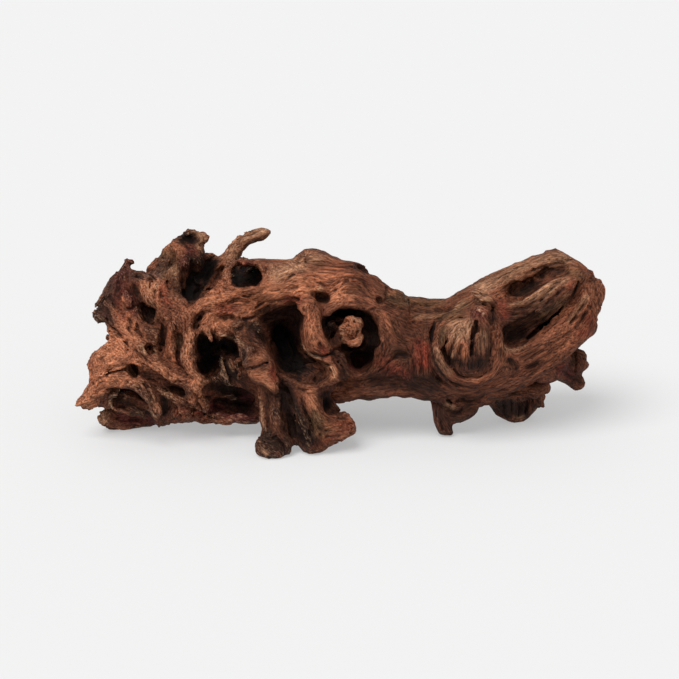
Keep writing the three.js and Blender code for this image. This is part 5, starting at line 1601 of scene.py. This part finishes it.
class Nodes:
    """Adds shader nodes to a material and joins them."""

    def __init__(self, material: bpy.types.Material) -> None:
        """Starts with the material's own nodes."""
        self.tree = material.node_tree
        self.shader = self.tree.nodes["Principled BSDF"]

    def add(self, kind: str, **settings: object) -> bpy.types.Node:
        """Adds a node and sets its properties."""
        made = self.tree.nodes.new(kind)
        for name, value in settings.items():
            setattr(made, name, value)
        return made

    def feed(self, socket: bpy.types.NodeSocket, value: object) -> None:
        """Gives a socket a value, or links another socket to it."""
        if isinstance(value, bpy.types.NodeSocket):
            self.tree.links.new(value, socket)
        else:
            socket.default_value = value

    def attribute(self, name: str) -> bpy.types.Node:
        """Returns a node that reads what is stored on each point of the mesh."""
        return self.add("ShaderNodeAttribute", attribute_name=name)

    def number(self, name: str) -> bpy.types.NodeSocket:
        """Returns a number stored on the mesh."""
        return self.attribute(name).outputs["Fac"]

    def mix(self, share: object, first: object, second: object, blend: str = "MIX") -> bpy.types.NodeSocket:
        """Mixes two colours.

        Args:
            share: how much of the second colour, from 0 to 1.
            first: a colour.
            second: another.
            blend: Blender's name for the kind of mix.

        Returns:
            The mixed colour.
        """
        made = self.add("ShaderNodeMix", data_type="RGBA", blend_type=blend)
        sockets = {s.identifier: s for s in made.inputs}
        self.feed(sockets["Factor_Float"], share)
        self.feed(sockets["A_Color"], first)
        self.feed(sockets["B_Color"], second)
        return next(s for s in made.outputs if s.identifier == "Result_Color")

    def reckon(self, kind: str, first: object, second: object) -> bpy.types.NodeSocket:
        """Does arithmetic on two numbers."""
        made = self.add("ShaderNodeMath", operation=kind)
        self.feed(made.inputs[0], first)
        self.feed(made.inputs[1], second)
        return made.outputs[0]

    def spread(self, value: object, low: float, high: float, start: float = 0.0,
               end: float = 1.0) -> bpy.types.NodeSocket:
        """Spreads the range from low to high smoothly over start to end."""
        made = self.add("ShaderNodeMapRange", interpolation_type="SMOOTHSTEP")
        self.feed(made.inputs["Value"], value)
        for name, amount in (("From Min", low), ("From Max", high), ("To Min", start), ("To Max", end)):
            made.inputs[name].default_value = amount
        return made.outputs["Result"]

    def noise(self, place: object, size: float, detail: float, rough: float) -> bpy.types.NodeSocket:
        """Returns a noise whose largest spots are of the given size in mm."""
        made = self.add("ShaderNodeTexNoise")
        self.feed(made.inputs["Vector"], place)
        made.inputs["Scale"].default_value = 1.0 / (size * MM)
        made.inputs["Detail"].default_value = detail
        made.inputs["Roughness"].default_value = rough
        return made.outputs["Fac"]


@dataclass(frozen=True)
class WeatheredWood:
    """The finish: dry red-brown wood, tan where it is worn, with shade painted into its creases, and near
    black in the hollows from the shade painted into its colour.
    """

    slot: str = "wood"
    roughness: tuple[float, float] = (0.5, 0.86)
    gloss: float = 0.12
    streak_size: float = 2.1
    streak_length: float = 6.0
    thread_size: float = 0.9
    thread_length: float = 3.4
    line_size: float = 0.85
    line_length: float = 13.0
    fleck_size: float = 1.3
    blotch_size: float = 15.0
    # Detail and roughness of each noise.
    streak_noise: tuple[float, float] = (5.0, 0.70)
    fleck_noise: tuple[float, float] = (5.0, 0.72)
    blotch_noise: tuple[float, float] = (4.0, 0.6)
    # Colours that the wood's own colour is multiplied by.
    dark_streak: tuple[float, ...] = (0.30, 0.27, 0.26, 1.0)
    light_streak: tuple[float, ...] = (1.85, 1.85, 1.82, 1.0)
    dark_thread: tuple[float, ...] = (0.30, 0.28, 0.28, 1.0)
    light_thread: tuple[float, ...] = (2.05, 2.05, 2.03, 1.0)
    dark_blotch: tuple[float, ...] = (0.70, 0.64, 0.62, 1.0)
    light_blotch: tuple[float, ...] = (1.24, 1.24, 1.26, 1.0)
    dark_fleck: tuple[float, ...] = (0.44, 0.41, 0.40, 1.0)
    light_fleck: tuple[float, ...] = (1.50, 1.50, 1.48, 1.0)
    fleck_share: float = 0.45
    # The stretch of each noise or share over which its effect sets in.
    streak_range: tuple[float, float] = (0.34, 0.66)
    thread_range: tuple[float, float] = (0.38, 0.61)
    blotch_range: tuple[float, float] = (0.3, 0.7)
    worn_range: tuple[float, float] = (0.1, 0.9)
    worn_thread_range: tuple[float, float] = (0.50, 0.62)
    worn_share: float = 0.6
    # Painted shade: the creases are darkened by this share, over this stretch of the crevice measure.
    crevice_shade_range: tuple[float, float] = (0.05, 0.9)
    crevice_shade_share: float = 0.6
    rough_range: tuple[float, float] = (0.35, 0.65)
    bump: float = 0.95
    bump_height: float = 1.1
    thread_bump: float = 0.6

    def streaks(self, nodes: Nodes, place: bpy.types.NodeSocket, size: float,
                length: float) -> bpy.types.NodeSocket:
        """Draws grain that runs the way the fibres do.

        Args:
            nodes: the material's nodes.
            place: the place on the wood.
            size: how thick a streak is, in mm.
            length: how many times its thickness it is long.

        Returns:
            A noise from 0 to 1.
        """
        total = None
        for lie in Lie:
            mapping = nodes.add("ShaderNodeMapping", vector_type="TEXTURE")
            tilt, turn = (math.radians(v) for v in lie.value)
            mapping.inputs["Rotation"].default_value = (0.0, tilt, turn)
            mapping.inputs["Scale"].default_value = (length, 1.0, 1.0)
            nodes.feed(mapping.inputs["Vector"], place)
            noise = nodes.noise(mapping.outputs["Vector"], size, *self.streak_noise)
            part = nodes.reckon("MULTIPLY", noise, nodes.number("fibres_" + lie.name.lower()))
            total = part if total is None else nodes.reckon("ADD", total, part)
        return total

    def material(self) -> bpy.types.Material:
        """Builds the node material."""
        material = bpy.data.materials.new("weathered_wood")
        material.use_nodes = True
        nodes = Nodes(material)
        place = nodes.add("ShaderNodeTexCoord").outputs["Object"]
        flecks = nodes.noise(place, self.fleck_size, *self.fleck_noise)
        blotches = nodes.noise(place, self.blotch_size, *self.blotch_noise)
        fibrous = nodes.number("fibrous")
        streaks = self.streaks(nodes, place, self.streak_size, self.streak_length)
        lines = self.streaks(nodes, place, self.line_size, self.line_length)
        threads = nodes.mix(fibrous, lines, self.streaks(nodes, place, self.thread_size, self.thread_length))
        fine = nodes.mix(nodes.reckon("MULTIPLY", fibrous, self.fleck_share), streaks, flecks)

        # The painted colour: the stains, with painted shade in the hollows and on the faces that look down.
        colour = nodes.attribute("tint_and_shade").outputs["Color"]
        dark = nodes.mix(fibrous, self.dark_fleck, self.dark_streak)
        light = nodes.mix(fibrous, self.light_fleck, self.light_streak)
        streak = nodes.mix(nodes.spread(fine, *self.streak_range), dark, light)
        colour = nodes.mix(1.0, colour, streak, "MULTIPLY")
        thread = nodes.mix(nodes.spread(threads, *self.thread_range), self.dark_thread, self.light_thread)
        colour = nodes.mix(1.0, colour, thread, "MULTIPLY")
        blotch = nodes.mix(nodes.spread(blotches, *self.blotch_range), self.dark_blotch, self.light_blotch)
        colour = nodes.mix(1.0, colour, blotch, "MULTIPLY")
        worn = nodes.spread(nodes.number("ridge"), *self.worn_range)
        worn_flecks = nodes.reckon("MULTIPLY", worn, nodes.spread(threads, *self.worn_thread_range))
        pale = nodes.reckon("MULTIPLY", worn_flecks, self.worn_share)
        colour = nodes.mix(pale, colour, (*Tone.PALE.linear(), 1.0))
        # Painted shade: the creases are darkened towards the darkest brown.
        crevice_shade = nodes.spread(nodes.number("crevice_shade"), *self.crevice_shade_range)
        crevice_shade_amount = nodes.reckon("MULTIPLY", crevice_shade, self.crevice_shade_share)
        colour = nodes.mix(crevice_shade_amount, colour, (*Tone.DARK.linear(), 1.0))
        nodes.feed(nodes.shader.inputs["Base Color"], colour)

        nodes.feed(nodes.shader.inputs["Roughness"], nodes.spread(fine, *self.rough_range, *self.roughness))
        nodes.shader.inputs["Specular IOR Level"].default_value = self.gloss
        bump = nodes.add("ShaderNodeBump")
        bump.inputs["Strength"].default_value = self.bump
        bump.inputs["Distance"].default_value = self.bump_height * MM
        raised = nodes.reckon("MULTIPLY", threads, self.thread_bump)
        nodes.feed(bump.inputs["Height"], nodes.reckon("ADD", fine, raised))
        nodes.feed(nodes.shader.inputs["Normal"], bump.outputs["Normal"])
        return material


@dataclass
class Driftwood:
    """The whole root: carves the block, draws its grain and makes the one piece that is seen."""

    parts: list[Part]
    grain: Grain = Grain()
    finish: WeatheredWood = WeatheredWood()
    cell: float = 0.8
    triangles: int = 196000
    facet_blur: float = 1.0
    wobble: float = 0.25
    # The grain is raised on samples within this distance of the surface, in mm.
    skin: float = 2.2
    # A stain reaches this many times deeper along the line of sight than to its sides.
    stain_depth: float = 2.0
    stain_ragged: float = 0.22
    stain_fall: float = 2.5
    lie_sharpness: int = 12
    # How far painted shade darkens the hollows towards black, and the faces that look down.
    hollow_shade: float = 0.85
    under_shade: float = 0.65
    # How buried a point is comes from the wood in a wide, a broad and a tight ball round it: each takes
    # every so many samples, and blurs them by so many of its own. The wood's edge is this wide, in mm.
    wide: tuple[int, float] = (4, 3.4)
    broad: tuple[int, float] = (2, 2.4)
    tight: tuple[int, float] = (1, 1.6)
    edge: float = 1.6
    # The stretch over which each share rises from 0 to 1. The hollow, crevice and under shares mark where
    # shade is painted.
    hollow_range: tuple[float, float] = (0.58, 0.82)
    ridge_range: tuple[float, float] = (0.26, 0.46)
    crevice_shade_range: tuple[float, float] = (0.53, 0.67)
    under_range: tuple[float, float] = (0.15, 0.95)
    smooth_ridge: float = 0.35
    # Where the wood is torn: at the left, low down in front of the trunk, and round some spots
    # [across, rise, near, reach].
    torn_left: tuple[float, float] = (-65.0, -25.0)
    torn_low: tuple[float, float] = (23.0, 48.0)
    torn_low_ends: tuple[float, float] = (0.0, 20.0)
    torn_low_share: float = 0.8
    torn_spots: tuple[Point, ...] = ((6, 4, 28, 10), (84, 17, 33, 6), (-42, -66, 27, 11), (2, -54, 21, 11))

    def block(self) -> WoodBlock:
        """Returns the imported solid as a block, with its facets rubbed smooth."""
        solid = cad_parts["driftwood"].data
        solid.calc_loop_triangles()
        points = np.empty(3 * len(solid.vertices), np.float32)
        solid.vertices.foreach_get("co", points)
        corners = np.empty(3 * len(solid.loop_triangles), np.int32)
        solid.loop_triangles.foreach_get("vertices", corners)
        block = WoodBlock(points.reshape(-1, 3) / MM, corners.reshape(-1, 3), self.cell, 7.0)
        block.values = soften(block.values, self.facet_blur / self.cell)
        return block

    def carve(self, block: WoodBlock) -> list[Array]:
        """Carves every part's strokes and returns the lines that the grain follows."""
        shaped = [run for part in self.parts for run in part.shape(block)]
        scratched = [run for part in self.parts for run in part.scratch(block, self.wobble)]
        standing = [run for part in self.parts for run in part.stand(block)]
        return shaped + scratched + standing

    def fibrous(self, places: Array) -> Array:
        """Returns how torn and fibrous the wood is: 1 at the left, 0 along the smooth trunk."""
        left = 1.0 - share_between(places[:, 0], self.torn_left)
        low = 1.0 - share_between(places[:, 2], self.torn_low)
        low *= 1.0 - share_between(places[:, 0], self.torn_low_ends)
        fibrous = np.maximum(left, self.torn_low_share * low)
        for *spot, reach in self.torn_spots:
            away = np.linalg.norm(places - Sight().place(np.array([spot])), axis=1)
            fibrous = np.maximum(fibrous, np.clip(1.5 - away / reach, 0.0, 1.0))
        return fibrous

    def draw_grain(self, block: WoodBlock, ways: Samples) -> None:
        """Raises the fibres, strands, folds and cracks on the block's surface."""
        skin = np.abs(block.values) < self.skin
        places = np.argwhere(skin) * block.cell + block.low
        fibrous = self.fibrous(places)
        grain = self.grain
        fibres = grain.combed(ways, places, grain.fibre, SEED)
        strands = grain.combed(ways, places, grain.strand, SEED + 1)
        folds = grain.combed(ways, places, grain.fold, SEED + 2)
        relief = grain.fibre.height(fibrous) * fibres
        relief += grain.strand.height(fibrous) * (grain.strand_level - np.abs(strands))
        relief += grain.fold.height(fibrous) * np.tanh(folds)
        relief -= grain.crack_depth * np.clip(np.abs(strands) - grain.crack_start, 0, grain.crack_span)
        block.values[skin] -= relief.astype(np.float32)

    def mesh(self, block: WoodBlock) -> bpy.types.Mesh:
        """Turns the block's surface into a mesh of no more than the set number of triangles."""
        points, faces = block.surface()
        dense = bpy.data.meshes.new("driftwood_dense")
        dense.vertices.add(len(points))
        dense.vertices.foreach_set("co", (points * MM).astype(np.float32).ravel())
        dense.loops.add(4 * len(faces))
        dense.loops.foreach_set("vertex_index", faces.astype(np.int32).ravel())
        dense.polygons.add(len(faces))
        dense.polygons.foreach_set("loop_start", np.arange(0, 4 * len(faces), 4, dtype=np.int32))
        dense.update(calc_edges=True)
        carrier = bpy.data.objects.new("driftwood_dense", dense)
        bpy.context.scene.collection.objects.link(carrier)
        thin = carrier.modifiers.new("thin", "DECIMATE")
        thin.ratio = min(1.0, self.triangles / (2 * len(faces)))
        evaluated = carrier.evaluated_get(bpy.context.evaluated_depsgraph_get())
        thinned = bpy.data.meshes.new_from_object(evaluated)
        bpy.data.objects.remove(carrier)
        bpy.data.meshes.remove(dense)
        return self.largest_body(thinned)

    def largest_body(self, mesh: bpy.types.Mesh) -> bpy.types.Mesh:
        """Drops the loose crumbs that carving leaves, and keeps the root itself."""
        edges = np.empty(2 * len(mesh.edges), np.int32)
        mesh.edges.foreach_get("vertices", edges)
        a, b = edges.reshape(-1, 2).T
        label = np.arange(len(mesh.vertices))
        while True:
            lower = label.copy()
            np.minimum.at(lower, a, label[b])
            np.minimum.at(lower, b, label[a])
            lower = lower[lower]
            if np.array_equal(lower, label):
                break
            label = lower
        names, counts = np.unique(label, return_counts=True)
        loose = np.flatnonzero(label != names[np.argmax(counts)])
        log.info("%d points in %d loose crumbs dropped", len(loose), len(names) - 1)
        if len(loose):
            work = bmesh.new()
            work.from_mesh(mesh)
            work.verts.ensure_lookup_table()
            bmesh.ops.delete(work, geom=[work.verts[i] for i in loose], context="VERTS")
            work.to_mesh(mesh)
            work.free()
        return mesh

    def stain_share(self, block: WoodBlock, places: Array, ragged: Array,
                    mark: Stain) -> tuple[Array, Array]:
        """Works out how far a stain covers each place.

        Args:
            block: the carved wood.
            places: rows of x, y and z, in mm.
            ragged: a noise that makes the stain's edge uneven.
            mark: the stain.

        Returns:
            The numbers of the places near the stain, and the stain's share at each, from 0 to 1.
        """
        sight = Sight(mark.side)
        near = sight.directions()[2]
        found, hit = block.land(smooth_line(np.array(mark.line), 0.6 * mark.radius)[:, :2], sight)
        found = found[hit]
        if len(found) == 0:
            return np.zeros(0, int), np.zeros(0)
        reach = 2.4 * mark.radius * self.stain_depth
        boxed = (places > found.min(0) - reach) & (places < found.max(0) + reach)
        close = np.flatnonzero(np.all(boxed, axis=1))
        gap = np.full(len(close), 1e9)
        for place in found:
            offset = places[close] - place
            depth = offset @ near
            gap = np.minimum(gap, np.sum(offset**2, axis=1) - depth**2 + (depth / self.stain_depth) ** 2)
        far = np.maximum(np.sqrt(gap) / mark.radius + self.stain_ragged * ragged[close], 0)
        return close, mark.strength * np.exp(-(far**self.stain_fall))

    def tint_and_shade(self, block: WoodBlock, places: Array, ragged: Array, hollow: Array) -> Array:
        """Works out the colour at each place: the wood's own colours and stains, with shade painted into the
        hollows.

        Args:
            block: the carved wood.
            places: where the colour is wanted, in mm.
            ragged: a noise that makes the stains' edges uneven.
            hollow: how deep in a hollow each place is, from 0 to 1, which sets how much shade is painted
                there.

        Returns:
            Rows of linear red, green and blue.
        """
        colours = np.tile(Tone.HEART.linear(), (len(places), 1))
        marks = [mark for part in self.parts for mark in part.stains]
        for inside in (False, True):
            for mark in (m for m in marks if m.inside is inside):
                close, share = self.stain_share(block, places, ragged, mark)
                colours[close] += share[:, None] * (mark.tone.linear() - colours[close])
            # Painted shade: the hollows are darkened towards black before the linings are laid on.
            if not inside:
                colours += self.hollow_shade * hollow[:, None] * (Tone.BLACK.linear() - colours)
        return colours

    def dress(self, mesh: bpy.types.Mesh, block: WoodBlock, ways: Samples) -> None:
        """Writes on each point how worn and fibrous the wood is, where the finish paints shade into creases,
        its colour with painted shade in the hollows and on the faces that look down, and its fibres' lie.
        """
        flat = np.empty(3 * len(mesh.vertices), np.float32)
        mesh.vertices.foreach_get("co", flat)
        places = flat.reshape(-1, 3) / MM
        inside = np.clip(0.5 - block.values / self.edge, 0, 1)
        wide, broad, tight = (
            Samples(soften(inside[::step, ::step, ::step], blur), block.low, step * block.cell).read(places)
            for step, blur in (self.wide, self.broad, self.tight)
        )
        normals = block.outward(places)
        fibrous = self.fibrous(places)
        ragged = self.grain.combed(ways, places, self.grain.ragged, SEED + 3)
        # Painted shade: faces that look down are darkened by this share, and hollows by the next.
        under = share_between(-normals[:, 2], self.under_range)
        hollow = share_between(wide, self.hollow_range)
        standing = 1.0 - share_between(broad, self.ridge_range)
        self.write(mesh, "ridge", standing * (self.smooth_ridge + (1.0 - self.smooth_ridge) * fibrous))
        # Where the finish paints shade into the creases.
        self.write(mesh, "crevice_shade", share_between(tight, self.crevice_shade_range))
        self.write(mesh, "fibrous", fibrous)
        # The colour, with painted shade darkening the faces that look down.
        tint_and_shade = self.tint_and_shade(block, places, ragged, hollow) * (1 - self.under_shade * under[:, None])
        colours = mesh.attributes.new("tint_and_shade", "FLOAT_COLOR", "POINT")
        full = np.hstack([tint_and_shade, np.ones((len(places), 1))])
        colours.data.foreach_set("color", full.astype(np.float32).ravel())
        way = ways.nearest(places)
        shares = np.stack([np.abs(way @ lie.way()) ** self.lie_sharpness for lie in Lie], axis=1) + 1e-9
        shares /= shares.sum(1, keepdims=True)
        for column, lie in enumerate(Lie):
            self.write(mesh, "fibres_" + lie.name.lower(), shares[:, column])

    def write(self, mesh: bpy.types.Mesh, name: str, values: Array) -> None:
        """Stores one number for each point."""
        mesh.attributes.new(name, "FLOAT", "POINT").data.foreach_set("value", values.astype(np.float32))

    def build(self) -> bpy.types.Object:
        """Makes the piece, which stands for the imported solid."""
        began = time.time()
        block = self.block()
        guides = self.carve(block)
        log.info("carved after %.1f s", time.time() - began)
        ways = self.grain.directions(block, guides)
        self.draw_grain(block, ways)
        block.keep_above(0.0)
        log.info("grain drawn after %.1f s", time.time() - began)
        mesh = self.mesh(block)
        log.info("mesh made after %.1f s", time.time() - began)
        self.dress(mesh, block, ways)
        mesh.shade_smooth()
        mesh.materials.append(self.finish.material())
        piece = bpy.data.objects.new("weathered_root", mesh)
        bpy.context.scene.collection.objects.link(piece)
        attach(piece, "root")
        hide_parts("driftwood")
        log.info("weathered_root: %d points, %d faces, %.1f s", len(mesh.vertices), len(mesh.polygons),
                 time.time() - began)
        return piece


@dataclass
class Studio:
    """The pale floor, which glows by its own light, the soft light and the camera."""

    look_down: float = 20.0
    lens: float = 99.85
    sensor: float = 36.0
    furthest: float = 40.0
    floor_size: float = 12.0
    floor_white: float = 0.50
    # The floor's own glow: painted light that lifts the shadow cast on it.
    floor_fill_glow: float = 0.356
    sky: float = 0.50
    sun: float = 2.1
    sun_width: float = 40.0
    sun_from: Point = (-0.45, -0.55, 1.25)

    def floor(self) -> None:
        """Makes the floor, which glows by its own light and so lightens the shadow cast on it: painted
        light.
        """
        mesh = bpy.data.meshes.new("floor")
        half = self.floor_size / 2
        corners = [(-half, -half, 0), (half, -half, 0), (half, half, 0), (-half, half, 0)]
        mesh.from_pydata(corners, [], [(0, 1, 2, 3)])
        material = bpy.data.materials.new("floor_paper_glowing")
        material.use_nodes = True
        shader = material.node_tree.nodes["Principled BSDF"]
        white = self.floor_white
        shader.inputs["Base Color"].default_value = (white, white, white, 1.0)
        # Painted light: the floor glows, which lightens the shadow that the wood casts on it.
        shader.inputs["Emission Color"].default_value = (1.0, 1.0, 1.0, 1.0)
        shader.inputs["Emission Strength"].default_value = self.floor_fill_glow
        shader.inputs["Roughness"].default_value = 1.0
        shader.inputs["Specular IOR Level"].default_value = 0.0
        mesh.materials.append(material)
        floor = bpy.data.objects.new("floor", mesh)
        bpy.context.scene.collection.objects.link(floor)

    def light(self) -> None:
        """Makes the wide soft lamp above the wood and the pale sky round it."""
        lamp = bpy.data.lights.new("key", "SUN")
        lamp.energy = self.sun
        lamp.angle = math.radians(self.sun_width)
        key = bpy.data.objects.new("key", lamp)
        key.rotation_euler = Vector(self.sun_from).to_track_quat("Z", "Y").to_euler()
        bpy.context.scene.collection.objects.link(key)
        world = bpy.data.worlds.new("studio")
        world.use_nodes = True
        background = world.node_tree.nodes["Background"]
        background.inputs["Color"].default_value = (1.0, 1.0, 1.0, 1.0)
        background.inputs["Strength"].default_value = self.sky
        bpy.context.scene.world = world
        bpy.context.scene.view_settings.view_transform = "Standard"

    def camera(self) -> None:
        """Makes the camera at the photograph's angle."""
        data = bpy.data.cameras.new("camera")
        data.lens = self.lens
        data.sensor_width = self.sensor
        data.clip_end = self.furthest
        camera = bpy.data.objects.new("camera", data)
        angle = math.radians(self.look_down)
        towards = Vector((0.0, -math.cos(angle), math.sin(angle)))
        camera.location = (Vector(LOOKED_AT) + towards * EYE_DISTANCE) * MM
        camera.rotation_euler = (-towards).to_track_quat("-Z", "Y").to_euler()
        bpy.context.scene.collection.objects.link(camera)
        bpy.context.scene.camera = camera

    def build(self) -> None:
        """Sets the studio up."""
        self.floor()
        self.light()
        self.camera()


def main() -> None:
    """Builds the studio and the driftwood, and reports the piece."""
    logging.basicConfig(level=logging.INFO, format="%(name)s: %(message)s")
    Studio().build()
    parts = [
        DarkLump(), BrokenHorns(), LowerLobe(), UpperStrap(), Eyes(), Claw(), GreatHollow(),
        RingHollow(), Trunk(), Knot(), Flare(), RightFeet(), HiddenSides(),
    ]
    Driftwood(parts).build()


if __name__ == "__main__":
    main()
